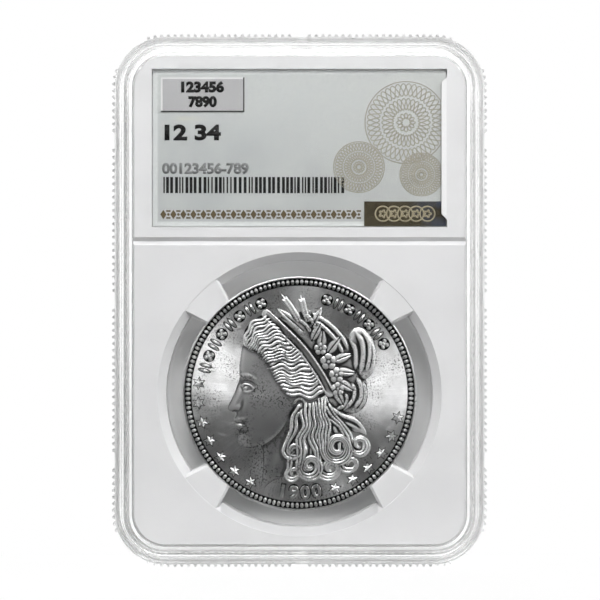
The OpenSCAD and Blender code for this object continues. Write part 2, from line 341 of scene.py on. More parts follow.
    def cereal_ear(self, points, level=0.15, grains=10):
        stem = curve(points, 60)
        self.strand(stem[:45], 0.13, level, 0.05, (0.02, 0.05))
        for i in range(grains):
            at = 28 + int(31 * i / grains)
            for lean in (-26, 26):
                grain = turned([(0, 0), (0.5, 0), (1.0, 0)], heading(stem, at) + lean) + stem[at]
                self.strand(grain, 0.23, level, 0.09, (0.3, 0.4))
        tip = stem[-1] + (stem[-1] - stem[-5]) * 2
        self.strand(np.array([stem[-4], stem[-1], tip]), 0.2, level, 0.06, (0.1, 0.5))


# ---- Head on the front face ----------------------------------------------

FACE = [
    (-8.9, 8.7), (-9.3, 7.4), (-9.6, 5.6), (-9.8, 3.9), (-9.72, 2.6), (-10.05, 1.5), (-10.65, -0.1),
    (-11.35, -1.5), (-11.6, -2.1), (-11.5, -2.6), (-11.0, -2.88), (-10.3, -3.0), (-10.25, -3.4),
    (-10.6, -4.1), (-10.55, -4.55), (-10.15, -4.82), (-10.4, -5.1), (-10.4, -5.55), (-9.95, -6.0),
    (-9.85, -6.5), (-10.0, -7.3), (-9.8, -8.1), (-9.1, -8.65), (-8.2, -8.85), (-7.2, -8.7),
    (-6.45, -8.75), (-6.1, -9.6), (-5.95, -11.5), (-6.1, -13.6), (-6.3, -15.2), (-5.9, -15.45),
    (-4.8, -14.5), (-3.0, -13.6), (-0.5, -13.0), (1.5, -10.0), (2.5, -5.0), (3.5, 0.0), (1.0, 6.0),
    (-2.0, 10.0), (-5.0, 11.5), (-7.6, 10.8)]


def soften(field, passes):
    for _ in range(passes):
        for axis in (0, 1):
            field = (np.roll(field, 1, axis) + 2 * field + np.roll(field, -1, axis)) / 4
    return field


def face_and_neck(r):
    inside = r.depth(spline(FACE, 6, True))
    rounded = 0.16 * swell(inside / 2.6) + 0.05 * np.clip(inside / 7, 0, 1)
    skin = 0.02 + soften(rounded, 14) * swell(inside / 0.5)
    swells = [
        # u, v, wide, high, turn, rise
        (-6.0, -2.4, 2.3, 2.6, -25, 0.06),    # cheek
        (-6.6, -0.4, 1.6, 0.8, 12, 0.03),     # cheekbone
        (-8.3, 6.0, 1.6, 2.2, 0, 0.03),       # forehead
        (-9.1, 2.9, 1.0, 0.6, 12, 0.035),     # brow
        (-8.5, 1.2, 1.25, 0.95, -10, -0.075),  # eye socket
        (-9.3, 1.9, 0.5, 0.6, 0, -0.03),      # root of the nose
        (-10.25, -0.7, 0.45, 1.9, -25, 0.05),  # bridge of the nose
        (-9.95, -2.2, 0.55, 0.5, 0, 0.07),    # nostril wing
        (-9.35, -1.9, 0.25, 0.8, -12, -0.05),  # behind the nostril
        (-10.45, -2.75, 0.35, 0.12, 8, -0.06),  # nostril
        (-9.8, -4.2, 0.75, 0.32, 14, 0.055),  # upper lip
        (-9.7, -5.3, 0.65, 0.34, -8, 0.055),  # lower lip
        (-9.1, -4.85, 0.4, 0.4, 0, -0.045),   # corner of the mouth
        (-9.5, -6.2, 0.8, 0.3, 0, -0.035),    # under the lip
        (-8.9, -7.5, 1.1, 1.0, 0, 0.045)]     # chin
    for u, v, wide, high, turn, rise in swells:
        skin = skin + rise * r.blob(u, v, wide, high, turn)
    jaw = curve([(-7.6, -8.9), (-6.0, -8.35), (-4.4, -7.3), (-3.0, -5.9), (-2.0, -4.2)], 50)
    window, gap, place = r.near(jaw, 3.4)
    under = r.v[window] < np.interp(r.u[window], jaw[:, 0], jaw[:, 1])
    skin[window] -= 0.08 * under * np.exp(-(gap / 2.2) ** 2) * np.clip((1 - place) * 2.5, 0, 1)
    window, gap, place = r.near(curve([(-1.8, -6.0), (-3.2, -9.2), (-4.8, -13.2)]), 1.8)
    skin[window] += 0.04 * np.exp(-(gap / 0.8) ** 2) * np.sin(math.pi * place)
    r.h = np.where(inside > 0, skin, r.h)
    r.h += 0.06 * r.blob(-8.75, 0.95, 0.42, 0.45)
    for points, width, depth in [
            ([(-9.3, 1.05), (-9.05, 1.5), (-8.4, 1.48), (-7.8, 1.15), (-7.3, 0.75)], 0.16, -0.075),
            ([(-9.1, 0.42), (-8.5, 0.3), (-8.0, 0.4), (-7.5, 0.7)], 0.14, -0.045),
            ([(-9.15, 1.0), (-8.8, 1.25), (-8.2, 1.2), (-7.7, 0.95)], 0.09, 0.05),
            ([(-9.35, 1.15), (-9.32, 0.8), (-9.15, 0.45)], 0.1, 0.04),
            ([(-9.2, 2.0), (-8.6, 2.12), (-7.8, 1.9), (-7.0, 1.3)], 0.15, 0.04),
            ([(-9.6, 2.7), (-9.0, 2.98), (-8.0, 2.9), (-6.9, 2.3)], 0.26, -0.035),
            ([(-10.35, -4.82), (-9.8, -4.76), (-9.2, -4.92)], 0.12, 0.1),
            ([(-10.1, -2.9), (-9.75, -2.65), (-9.5, -2.1)], 0.12, 0.05)]:
        r.groove(curve(points), width, depth)
    r.bare = np.where(inside > 0, r.h, SUNK)


def ear(r):
    r.raise_shape([(-1.0, -0.9), (-1.2, -2.0), (-0.9, -3.2), (-0.3, -4.0), (0.4, -3.6), (0.8, -2.4),
                   (1.2, -1.2), (0.4, -0.6)], 0.1, 0.5, 0.06)
    r.strand(curve([(-0.9, -1.8), (-0.5, -1.0), (0.4, -0.9), (0.9, -1.7), (0.6, -2.7), (0.1, -3.6)]),
             0.25, 0.17, 0.08, (0.05, 0.1))
    r.groove(curve([(-0.3, -1.5), (0.3, -1.5), (0.35, -2.2), (-0.2, -2.9)]), 0.24, 0.1)
    r.h += 0.05 * r.blob(-0.2, -3.5, 0.4, 0.4)


def combed_hair(r):
    r.raise_shape([(-8.9, 8.2), (-8.9, 10.2), (-7.4, 12.0), (-4.9, 12.7), (-1.0, 9.2), (3.0, 4.2),
                   (4.5, 0.4), (2.5, -0.9), (-0.6, -0.6), (-2.5, 0.5), (-4.3, 3.4), (-5.8, 6.2),
                   (-7.4, 7.0), (-8.4, 7.4)], 0.11, 0.8, 0.02)
    guides = [curve(points) for points in [
        [(-8.9, 8.3), (-8.8, 10.1), (-7.5, 11.8), (-5.6, 12.7), (-4.7, 12.6)],
        [(-8.6, 7.5), (-7.6, 9.4), (-5.9, 10.8), (-4.2, 11.3), (-3.5, 11.3)],
        [(-7.6, 6.8), (-6.3, 8.4), (-4.4, 9.1), (-2.9, 9.2), (-1.8, 9.5)],
        [(-6.3, 6.2), (-4.9, 7.1), (-3.0, 7.2), (-1.4, 7.2), (-0.2, 7.7)],
        [(-5.3, 4.8), (-3.8, 5.4), (-1.8, 5.2), (-0.1, 5.4), (1.4, 5.9)],
        [(-4.6, 3.2), (-3.0, 3.6), (-0.9, 3.2), (1.2, 3.5), (2.8, 4.1)],
        [(-3.7, 1.6), (-2.0, 1.7), (0.3, 1.2), (2.2, 1.5), (3.9, 2.3)],
        [(-2.4, -0.1), (-0.9, -0.4), (1.1, -0.8), (2.9, -0.5), (4.5, 0.3)]]]
    for k, (upper, lower) in enumerate(zip(guides, guides[1:])):
        r.lock(upper, lower, 3 + k % 2, 0.12 + 0.03 * (k % 2), ridge=0.18, fat=0.42, wave=0.24, beat=2.3,
               phase=0.37 * k)
    for u, v, radius, start in [(-8.4, 8.2, 0.8, 60), (-7.4, 7.2, 0.65, 20), (-5.9, 6.1, 0.55, 200),
                                (-5.0, 4.5, 0.5, 180), (-3.9, 2.4, 0.45, 170)]:
        r.strand(spiral((u, v), radius, 0.14, start, 1.1, 26), 0.2, 0.15, 0.08)


def falling_hair(r):
    r.raise_shape([(0.5, -0.8), (-1.0, -3.6), (-2.0, -6.9), (-1.8, -9.6), (0.5, -11.4), (5.0, -11.0),
                   (8.0, -8.6), (6.4, -5.0), (4.6, -1.4)], 0.05, 0.8, 0.02)
    guides = [curve(points) for points in [
        [(0.2, -1.2), (-0.9, -3.6), (-1.6, -6.4), (-1.9, -9.0), (-1.0, -12.2)],
        [(1.2, -1.0), (0.5, -3.6), (0.0, -6.6), (-0.3, -9.4), (0.9, -12.6)],
        [(2.2, -0.9), (1.9, -3.6), (1.7, -6.6), (2.2, -9.6), (3.2, -12.4)],
        [(3.1, -0.9), (3.4, -3.4), (3.8, -6.2), (4.6, -9.0), (6.0, -11.4)],
        [(4.2, -1.2), (5.0, -3.4), (6.2, -5.4), (7.6, -7.2), (9.4, -9.0)]]]
    for k, (near, far) in enumerate(zip(guides, guides[1:])):
        r.lock(near, far, 3, 0.06, ridge=0.15, fat=0.4, wave=0.24, beat=2.6, phase=0.41 * k,
               taper=(0.14, 0.08))
    ringlets = [
        # path down, centre of the curl, its radius and turns, width, strands, level
        ([(-0.2, -8.6), (-1.3, -10.4)], (-0.9, -12.9), 1.2, 1.2, 1.0, 2, 0.1),
        ([(7.4, -6.0), (6.9, -8.4), (6.8, -10.0)], (8.2, -11.4), 1.35, 1.2, 1.3, 2, 0.09),
        ([(4.3, -1.6), (5.2, -3.8), (6.9, -5.2), (7.8, -6.6)], (9.7, -8.2), 1.7, 1.3, 1.7, 3, 0.11),
        ([(2.2, -1.0), (2.1, -3.2), (2.7, -5.2), (2.1, -7.2), (2.8, -9.4)], (5.0, -12.1),
         1.8, 1.3, 1.8, 3, 0.11),
        ([(0.4, -1.6), (-0.6, -3.4), (-0.9, -5.4), (-1.7, -7.2)], (-0.9, -9.3), 1.3, 1.3, 1.5, 2, 0.12),
        ([(1.3, -1.0), (0.8, -3.3), (1.1, -5.4), (0.3, -7.4), (0.2, -9.4)], (1.8, -11.7),
         2.0, 1.4, 1.9, 3, 0.14),
        ([(3.2, -0.8), (3.5, -3.0), (4.3, -5.0), (3.9, -6.8)], (6.2, -8.7), 2.4, 1.6, 2.1, 4, 0.15)]
    for row in ringlets:
        r.ringlet(*row)


def cap(r):
    r.raise_shape([(-0.6, 13.0), (1.4, 13.7), (2.6, 12.6), (4.6, 11.7), (6.6, 10.3), (8.2, 8.4), (9.9, 5.0),
                   (10.9, 1.6), (10.9, -1.2), (9.6, -2.9), (7.2, -3.2), (5.2, -2.0), (4.3, -0.2), (3.0, 4.0),
                   (-0.5, 8.8), (-3.6, 12.0)], 0.19, 1.8, 0.02)
    r.raise_shape([(4.0, -1.6), (5.6, -3.0), (8.2, -3.4), (10.0, -4.6), (10.9, -6.6), (9.6, -6.4),
                   (7.6, -5.8), (5.6, -4.6), (4.4, -3.0)], 0.17, 0.9, 0.04)
    r.raise_shape([(7.9, 8.6), (8.6, 10.4), (10.2, 10.6), (11.8, 8.9), (12.4, 6.2), (11.9, 3.6), (10.4, 2.3),
                   (9.0, 3.4), (8.2, 5.8)], 0.18, 1.5, 0.08)
    folds = [
        # path, half width, level, rise
        ([(8.3, 8.7), (9.0, 7.4), (9.2, 5.6), (9.1, 3.8)], 0.42, 0.2, 0.1),
        ([(8.9, 10.1), (10.0, 8.6), (10.3, 6.4), (9.9, 3.1)], 0.5, 0.22, 0.12),
        ([(9.9, 10.3), (11.1, 8.6), (11.3, 6.0), (10.6, 3.0)], 0.42, 0.2, 0.11),
        ([(11.0, 9.4), (11.9, 7.4), (11.9, 5.2), (11.3, 3.6)], 0.34, 0.16, 0.1),
        ([(9.0, 3.0), (9.9, 1.2), (9.9, -0.8), (8.6, -2.5)], 0.42, 0.17, 0.1),
        ([(10.0, 2.4), (10.6, 0.6), (10.4, -1.2), (9.5, -2.6)], 0.32, 0.14, 0.1),
        ([(8.2, 2.2), (8.9, 0.6), (8.6, -1.0), (7.2, -2.6)], 0.36, 0.17, 0.1),
        ([(7.2, 0.4), (7.7, -0.8), (7.2, -1.9), (6.0, -2.5)], 0.32, 0.16, 0.1),
        ([(2.2, 13.0), (4.9, 11.2), (7.0, 8.9), (8.0, 6.6)], 0.34, 0.17, 0.09),
        ([(1.9, 12.2), (4.4, 10.3), (6.2, 8.2), (7.4, 5.6)], 0.34, 0.18, 0.09),
        ([(-0.4, 12.2), (1.0, 11.2), (2.0, 9.6)], 0.34, 0.16, 0.09),
        ([(0.6, 13.2), (2.0, 11.8), (2.9, 10.0)], 0.34, 0.17, 0.09),
        ([(4.6, -1.9), (6.6, -3.4), (9.2, -4.5), (10.7, -6.2)], 0.34, 0.16, 0.1),
        ([(4.7, -2.7), (6.4, -4.2), (8.6, -5.2), (10.3, -6.3)], 0.3, 0.15, 0.1)]
    for points, radius, level, rise in folds:
        r.strand(curve(points), radius, level, rise, (0.2, 0.2))


def band(r):
    middle = curve([(-5.4, 12.9), (-2.6, 10.2), (0.6, 6.9), (3.2, 3.2), (4.9, 0.2)], 60)
    window, gap, _ = r.near(middle, 1.0)
    flat = np.where(gap < 0.72, 0.24 + 0.03 * np.sqrt(np.clip(1 - (gap / 0.72) ** 2, 0, 1)), SUNK)
    r.h[window] = np.maximum(r.h[window], flat)
    for side in (-0.62, 0.62):
        r.strand(offset(middle, side), 0.14, 0.28, 0.05, (0.01, 0.01))


def wreath_on_cap(r):
    for base, length, width, turn in [
            ((2.0, 8.6), 3.2, 1.4, 62), ((3.4, 6.8), 3.8, 1.6, 84), ((4.4, 6.4), 3.8, 1.6, 52),
            ((5.2, 5.2), 3.6, 1.5, 20), ((5.6, 3.6), 3.6, 1.5, -4), ((5.9, 2.2), 3.6, 1.5, -30),
            ((5.6, 1.0), 3.4, 1.4, -62)]:
        r.leaf(base, length, width, turn, 0.2)
    for centre, radius in [((4.7, 5.2), 1.3), ((6.0, 3.0), 1.2), ((3.4, 7.3), 1.0), ((6.2, 0.8), 1.1)]:
        r.flower(centre, radius, 0.24)
    r.leaf((0.6, 10.2), 5.6, 1.5, 139, 0.12)
    r.leaf((1.9, 10.5), 4.0, 1.2, 64, 0.14)
    r.cereal_ear([(1.6, 8.0), (0.6, 10.6), (-0.9, 13.2), (-2.3, 15.2)])
    r.cereal_ear([(2.2, 8.2), (1.6, 10.8), (0.9, 13.2), (0.4, 15.0)])


def head_relief():
    r = Relief(-13, 13, -16, 16.4, 0.08)
    face_and_neck(r)
    combed_hair(r)
    falling_hair(r)
    ear(r)
    cap(r)
    band(r)
    wreath_on_cap(r)
    return r


# ---- Coin ----------------------------------------------------------------

# Radii, heights and lengths in millimetres from the coin's middle, angles in degrees.
REEDS = 180
STEPS_PER_REED = 4
REED_DEPTH = 0.12
BEADS = 150
FIELD = 0.9
RIM_TOP = 1.2
RIM_IN = 18.6
BEADS_IN = 17.55
BEAD_RING = 18.1
STAR_RING = 16.4
STAR_STEP = 11.15
FIRST_LEFT_STAR = 174.1
FIRST_RIGHT_STAR = 290.5
STAR_WALL = 0.14
STAR_FOOT = 1.24
BACK_STARS = 15
MOTTO_RING = 15.85
LEFT_MOTTO_STEP = 14.8
RIGHT_MOTTO_STEP = 14.4
DATE = "1900"
DATE_RING = 16.0
DATE_STEP = 6.6
DATE_SIZE = 2.9
AXIS = (0, 1, 0)


def at_coin(radius, angle, height):
    """A point over the coin's front face: angle from the right, anticlockwise, in degrees."""
    a = math.radians(angle)
    return COIN + Vector((radius * math.cos(a), -height, radius * math.sin(a))) * MM


def spin_copies(piece, count, step):
    """Copies a piece round the coin's axis, anticlockwise as seen from the front."""
    edit(piece)
    bpy.ops.mesh.spin(steps=count - 1, dupli=True, angle=math.radians(step * (count - 1)),
                      center=COIN, axis=AXIS)
    close()
    return piece


def coin_blank():
    """Field, rims and reeded edge, spun from half of the coin's section."""
    half = [
        # radius, height
        (0, FIELD), (10, FIELD), (BEADS_IN - 0.1, FIELD), (BEADS_IN, FIELD), (RIM_IN - 0.08, FIELD - 0.02),
        (RIM_IN, FIELD + 0.02), (RIM_IN + 0.06, RIM_TOP - 0.08), (RIM_IN + 0.14, RIM_TOP), (18.86, RIM_TOP),
        (18.98, RIM_TOP - 0.06), (19.05, 1.03)]
    section = half + [(r, -h) for r, h in reversed(half)]
    deselect()
    bpy.ops.mesh.primitive_plane_add(size=MM, location=at_coin(0, 0, FIELD))
    blank = settle(bpy.context.object)
    edit(blank, "VERT")
    bpy.ops.mesh.merge(type="CENTER")
    for (r0, h0), (r1, h1) in zip(section, section[1:]):
        extrude((r1 - r0) * MM, -(h1 - h0) * MM, 0)
    bpy.ops.mesh.select_all(action="SELECT")
    bpy.ops.mesh.spin(steps=STEPS_PER_REED * REEDS, angle=2 * math.pi, center=COIN, axis=AXIS)
    facing_out(blank, 1e-6)
    turn = 2 * math.pi / (STEPS_PER_REED * REEDS)

    def between_reeds(co):
        arm = co - COIN
        step = round(math.atan2(arm.z, arm.x) / turn) % STEPS_PER_REED
        return math.hypot(arm.x, arm.z) > COIN_R - 0.01 * MM and step > 1

    choose(blank, between_reeds)
    shrink = 1 - REED_DEPTH * MM / COIN_R
    bpy.ops.transform.resize(value=(shrink, 1, shrink), center_override=COIN)
    close()
    pick(blank)
    bpy.ops.object.shade_smooth_by_angle(angle=math.radians(28))
    # Painted shade: the field under the ring of beads is marked dark, so the gaps between them go black.
    radii = [math.hypot(v.co.x - COIN.x, v.co.z - COIN.z) / MM for v in blank.data.vertices]
    mark_painted_shade(blank.data, [float(BEADS_IN - 0.01 < r < RIM_IN + 0.03) for r in radii])
    return blank


def dome(place, wide, deep, high, turn=0.0):
    """A smooth bead with the given half sizes in millimetres."""
    deselect()
    bpy.ops.mesh.primitive_uv_sphere_add(segments=8, ring_count=6, radius=MM, location=place)
    bead = bpy.context.object
    bead.scale = (wide, deep, high)
    bead.rotation_euler = (0, math.radians(-turn), 0)
    bpy.ops.object.shade_smooth()
    return settle(bead)


def bead_rings():
    return [spin_copies(dome(at_coin(BEAD_RING, 0, face * FIELD), 0.43, 0.22, 0.27), BEADS, 360 / BEADS)
            for face in (1, -1)]


def shade_foot(piece, from_y):
    """Marks the foot of a raised piece for painted shade, where it meets the field."""
    mark_painted_shade(piece.data, [float(v.co.y > from_y) for v in piece.data.vertices])


def shade_disc(place, wide, high, turn=0.0):
    """A thin dark disc of painted shade under a raised ornament."""
    deselect()
    bpy.ops.mesh.primitive_cylinder_add(vertices=16, radius=MM, depth=0.1 * MM, location=place,
                                        rotation=(math.radians(90), 0, 0))
    disc = settle(bpy.context.object)
    shade_foot(disc, place.y - MM)
    edit(disc)
    bpy.ops.transform.resize(value=(wide, 1, high), center_override=place)
    close()
    disc.data.transform(turn_about(place, -turn, "Y"))
    return disc


def turn_about(place, degrees, axis):
    move = Matrix.Translation(place)
    return move @ Matrix.Rotation(math.radians(degrees), 4, axis) @ move.inverted()


def star_at(angle, size=0.94):
    """A six-pointed faceted star with its ridges raised, on a flange of painted shade round its foot."""
    deselect()
    bpy.ops.mesh.primitive_circle_add(vertices=12, radius=size * MM, fill_type="TRIFAN",
                                      rotation=(math.radians(90), 0, 0))
    star = settle(bpy.context.object)

    def between_points(co):
        return co.length > 0.5 * size * MM and round(math.degrees(math.atan2(co.z, co.x)) / 30) % 2

    choose(star, between_points)
    bpy.ops.transform.resize(value=(0.52, 1, 0.52), center_override=(0, 0, 0))
    choose(star, lambda co: co.length < 0.1 * MM)
    bpy.ops.transform.translate(value=(0, -0.2 * MM, 0))
    bpy.ops.mesh.select_all(action="SELECT")
    bpy.ops.mesh.region_to_loop()
    extrude(0, STAR_WALL * MM, 0)
    extrude(0, 0, 0)
    bpy.ops.transform.resize(value=(STAR_FOOT, 1, STAR_FOOT), center_override=(0, 0, 0))
    extrude(0, 0.1 * MM, 0)
    bpy.ops.mesh.edge_face_add()
    close()
    shade_foot(star, (STAR_WALL - 0.01) * MM)
    star.rotation_euler = (0, math.radians(30 - angle), 0)
    star.location = at_coin(STAR_RING, angle, FIELD + STAR_WALL + 0.006)
    return facing_out(settle(star))


def star_rings():
    """Seven stars up the left of the front face and six up its right."""
    return [spin_copies(star_at(FIRST_LEFT_STAR), 7, STAR_STEP),
            spin_copies(star_at(FIRST_RIGHT_STAR), 6, STAR_STEP)]


def back_star(angle):
    star = star_at(90, size=0.8)
    star.data.transform(turn_about(COIN, 180, "Z") @ turn_about(COIN, angle, "Y"))
    return star


def rosette_at(angle, petals=4, size=0.36, spread=0.52):
    """A small flower of domes round a raised eye, on a dark disc of painted shade."""
    centre = at_coin(MOTTO_RING, angle, FIELD)
    domes = [dome(centre, size, 0.8 * size, size)]
    for i in range(petals):
        turn = math.radians(angle + 45 + 360 * i / petals)
        spot = centre + Vector((math.cos(turn), 0, math.sin(turn))) * spread * MM
        domes.append(dome(spot, size, 0.6 * size, size))
    domes.append(shade_disc(at_coin(MOTTO_RING, angle, FIELD - 0.04), 1.0, 1.0))
    return joined(domes)


def bars_at(angle):
    """Two short upright bars with rounded ends, each on a dark foot of painted shade."""
    pieces = []
    for side in (-0.42, 0.42):
        place = angle + math.degrees(side / MOTTO_RING)
        pieces.append(dome(at_coin(MOTTO_RING, place, FIELD), 0.98, 0.24, 0.25, angle))
        pieces.append(shade_disc(at_coin(MOTTO_RING, place, FIELD - 0.043), 1.1, 0.37, angle))
    return joined(pieces)


def motto_ornaments():
    """A plain row of flowers and bars where such a coin carries its lettering."""
    rows = [
        # first ornament, its copies, step
        (rosette_at(113), 4, LEFT_MOTTO_STEP),
        (bars_at(120.4), 4, LEFT_MOTTO_STEP),
        (rosette_at(30.5), 4, RIGHT_MOTTO_STEP),
        (bars_at(37.7), 3, RIGHT_MOTTO_STEP)]
    return [spin_copies(*row) for row in rows]


def date_digits(outline=False):
    """Raised digits along the bottom of the coin, upright as read, or the painted shade round their feet."""
    letters = []
    for i, figure in enumerate(DATE):
        angle = 270 + DATE_STEP * (i - (len(DATE) - 1) / 2)
        text = figures(figure, size=DATE_SIZE * MM, extrude=(0.02 if outline else 0.05) * MM,
                       bevel_depth=(0 if outline else 0.15) * MM, bevel_resolution=1,
                       offset=(0.3 if outline else 0) * MM)
        shade_foot(text, -MM if outline else MM)
        text.rotation_euler = (math.radians(90), math.radians(270 - angle), 0)
        text.location = at_coin(DATE_RING, angle, FIELD)
        letters.append(settle(text))
    return joined(letters)


# How the relief's painted shade sets in, for fine gaps and for broad hollows: rounds of softening,
# the depth in millimetres where it starts and the span over which it grows.
FINE_GAPS = (30, -0.0145, 0.024)
BROAD_HOLLOWS = (60, 0.004, 0.045)
# Bare skin is drawn to one level of painted shade, by this share.
SKIN_LEVEL = 0.7
SKIN_SHARE = 0.55


def painted_shade_of(r):
    """Painted shade for each point, from how deep it lies under what is around it, evened out on bare skin.
    """
    level = np.maximum(r.h, 0)
    depths = [(soften(level, rounds) - level - start) / growth
              for rounds, start, growth in (FINE_GAPS, BROAD_HOLLOWS)]
    painted_shade = np.clip(np.maximum(*depths), 0, 1)
    skin = soften(((r.bare > 0) & (r.h <= r.bare)).astype(float), 3)
    return painted_shade + skin * SKIN_SHARE * (SKIN_LEVEL - painted_shade)


def covered_cells(raised):
    """The grid cells under a relief, with its inner holes filled and no cells that meet at a corner only."""
    cells = raised[1:, 1:] | raised[1:, :-1] | raised[:-1, 1:] | raised[:-1, :-1]
    outside = np.zeros(cells.shape, bool)
    outside[[0, -1]] = outside[:, [0, -1]] = True
    while True:
        grown = outside.copy()
        grown[1:] |= outside[:-1]
        grown[:-1] |= outside[1:]
        grown[:, 1:] |= outside[:, :-1]
        grown[:, :-1] |= outside[:, 1:]
        grown &= ~cells
        if (grown == outside).all():
            break
        outside = grown
    cells = ~outside
    while True:
        corners = cells[:-1, :-1], cells[:-1, 1:], cells[1:, :-1], cells[1:, 1:]
        a, b, c, d = corners
        crossed = (a & d & ~b & ~c) | (b & c & ~a & ~d)
        if not crossed.any():
            return cells
        for corner in corners:
            corner |= crossed


def relief_piece(r, name, face=1):
    """The relief as a closed mesh whose base is sunk in the coin."""
    rows, cols = np.nonzero(covered_cells(r.h > SUNK + 0.005))
    width = r.u.shape[1]
    first = rows * width + cols
    corners = np.stack([first, first + 1, first + width + 1, first + width], axis=1)
    used, faces = np.unique(corners, return_inverse=True)
    faces = faces.reshape(corners.shape)
    places = np.stack([COIN.x + face * r.u.ravel()[used] * MM,
                       COIN.y - face * (FIELD + r.h.ravel()[used]) * MM,
                       COIN.z + r.v.ravel()[used] * MM], axis=1)
    mesh = bpy.data.meshes.new(name)
    mesh.from_pydata(places.tolist(), [], faces.tolist())
    mark_painted_shade(mesh, painted_shade_of(r).ravel()[used])
    piece = linked(name, mesh)
    edit(piece, "EDGE")
    bpy.ops.mesh.region_to_loop()
    bpy.ops.mesh.extrude_edges_move(TRANSFORM_OT_translate={"value": (0, face * 0.1 * MM, 0)})
    bpy.ops.mesh.edge_face_add()
    close()
    pick(piece)
    bpy.ops.object.shade_smooth()
    return piece


def wreath_relief():
    """A plain laurel wreath round the figure 1, for the back face."""
    r = Relief(-14.4, 14.4, -14.4, 14.4, 0.17)
    for side in (-1, 1):
        stem = even(np.array([(side * 12.2 * math.sin(a), -12.2 * math.cos(a))
                              for a in np.linspace(-0.06, 2.6, 40)]), 60)
        r.strand(stem, 0.3, 0.1, 0.1, (0.02, 0.1))
        for i in range(11):
            at = 5 + 5 * i
            for lean in (-34, 34):
                r.leaf(stem[at], 3.1 - 0.06 * i, 1.35, heading(stem, at) + lean, 0.1)
        r.leaf(stem[-1], 2.6, 1.2, heading(stem, -2), 0.12)
    for side, level in ((1, 0.16), (-1, 0.18)):
        ribbon = curve([(-2.2 * side, -13.4), (-0.8 * side, -12.4), (0.9 * side, -11.8), (2.2 * side, -12.6)])
        r.strand(ribbon, 0.35, level, 0.12)
    figure = [(-0.9, -5.6), (-0.9, 4.2), (-2.3, 3.5), (-2.3, 4.9), (-0.5, 6.6), (1.1, 6.6), (1.1, -5.6),
              (2.6, -5.6), (2.6, -6.8), (-2.4, -6.8), (-2.4, -5.6)]
    r.raise_shape(figure, 0.2, 0.5, 0.04, smooth=False)
    return r


def coin():
    parts = [coin_blank(), *bead_rings(), *star_rings(), *motto_ornaments(), date_digits(),
             date_digits(outline=True), relief_piece(wreath_relief(), "wreath", face=-1)]
    parts += [back_star(360 / BACK_STARS * i) for i in range(BACK_STARS)]
    # One silver in two tones: the darker base on the field is painted shade, the paler one on the head a
    # painted highlight on its relief.
    silver = coin_silver("coin_silver", lustre=1.0, polish=0.31, flow_depth=0.5, pale=(0.54, 0.78))
    add_piece(joined(parts), "coin_struck", silver, "coin_silver", "coin")
    skin = coin_silver("head_silver", lustre=0.4, polish=0.36, flow_depth=0.06, pale=(0.95, 1.0))
    add_piece(relief_piece(head_relief(), "head"), "coin_head", skin, "coin_silver")


# ---- Printing on the label -----------------------------------------------

# Thickness of the ink in millimetres, and how much the figures are fattened.
INK = 0.02
CARD_WEIGHT = 0.045
STICKER_WEIGHT = 0.06
# Widths of the barcode's bars and gaps, and of the fine lines of the rosettes and the foil.
BARS = [0.24, 0.46]
GAPS = [0.2, 0.34]
ROSETTE_LINE = 0.07
FOIL_LINE = 0.12


def on_card(x, z, face_y):
    """A place on the label: x from the slab's middle and z over the ground, in millimetres."""
    return Vector((x * MM, face_y - INK / 2 * MM, z * MM))


def printed(flat, x, z, width, height, face_y):
    """Fits a flat shape to a width and height in millimetres and stands it on the label."""
    reach = flat.dimensions
    flat.scale = (width * MM / reach.x, height * MM / reach.y, 1)
    flat.rotation_euler = (math.radians(90), 0, 0)
    flat.location = on_card(x, z, face_y)
    return settle(flat)


def thickened(piece):
    """Gives flat printing the thickness of its ink."""
    facing_out(piece)
    edit(piece)
    extrude(0, -INK * MM, 0)
    close()
    return facing_out(piece)


def number(words, x, z, width, height, face_y, weight):
    """Digits round a middle, fitted to a width and height in millimetres."""
    return thickened(printed(figures(words, offset=weight), x, z, width, height, face_y))


def flat_shape(x, z, width, height, face_y, corners=4, turn=45.0):
    """A printed lozenge, bar or dot: a flat ring of corners, filled."""
    deselect()
    bpy.ops.mesh.primitive_circle_add(vertices=corners, radius=1, fill_type="NGON",
                                      rotation=(0, 0, math.radians(turn)))
    return printed(settle(bpy.context.object), x, z, width, height, face_y)


def barcode(left, right, z, height, face_y):
    """Plain bars of two widths, with gaps of two widths."""
    rng = np.random.default_rng(11)
    bars = []
    x = left
    while x < right - 0.5:
        width = rng.choice(BARS)
        bars.append(flat_shape(x + width / 2, z, width, height, face_y))
        x += width + rng.choice(GAPS)
    return thickened(joined(bars))


def ornament_row(left, z, pitch, count, face_y):
    """A row of lozenges with dots and bars between them, made once and repeated."""
    row = joined([flat_shape(left, z, 1.0, 1.5, face_y, turn=0),
                  flat_shape(left + pitch / 2, z, 0.42, 0.42, face_y, corners=10),
                  flat_shape(left + pitch / 2, z + 0.56, 0.7, 0.26, face_y),
                  flat_shape(left + pitch / 2, z - 0.56, 0.7, 0.26, face_y)])
    thickened(row)
    pick(row)
    repeat = row.modifiers.new("array", "ARRAY")
    repeat.count = count
    repeat.use_relative_offset = False
    repeat.use_constant_offset = True
    repeat.constant_offset_displace = (pitch * MM, 0, 0)
    bpy.ops.object.modifier_apply(modifier=repeat.name)
    return row


def engraved_lines(loops, radius):
    """Fine closed lines, given as points in metres, as thin closed tubes."""
    wire = bpy.data.curves.new("lines", "CURVE")
    wire.dimensions = "3D"
    wire.bevel_depth = radius * MM
    wire.bevel_resolution = 0
    for loop in loops:
        line = wire.splines.new("POLY")
        line.points.add(len(loop) - 1)
        line.points.foreach_set("co", np.c_[loop, np.ones(len(loop))].ravel())
        line.use_cyclic_u = True
    pick(linked("lines", wire))
    bpy.ops.object.convert(target="MESH")
    return bpy.context.object


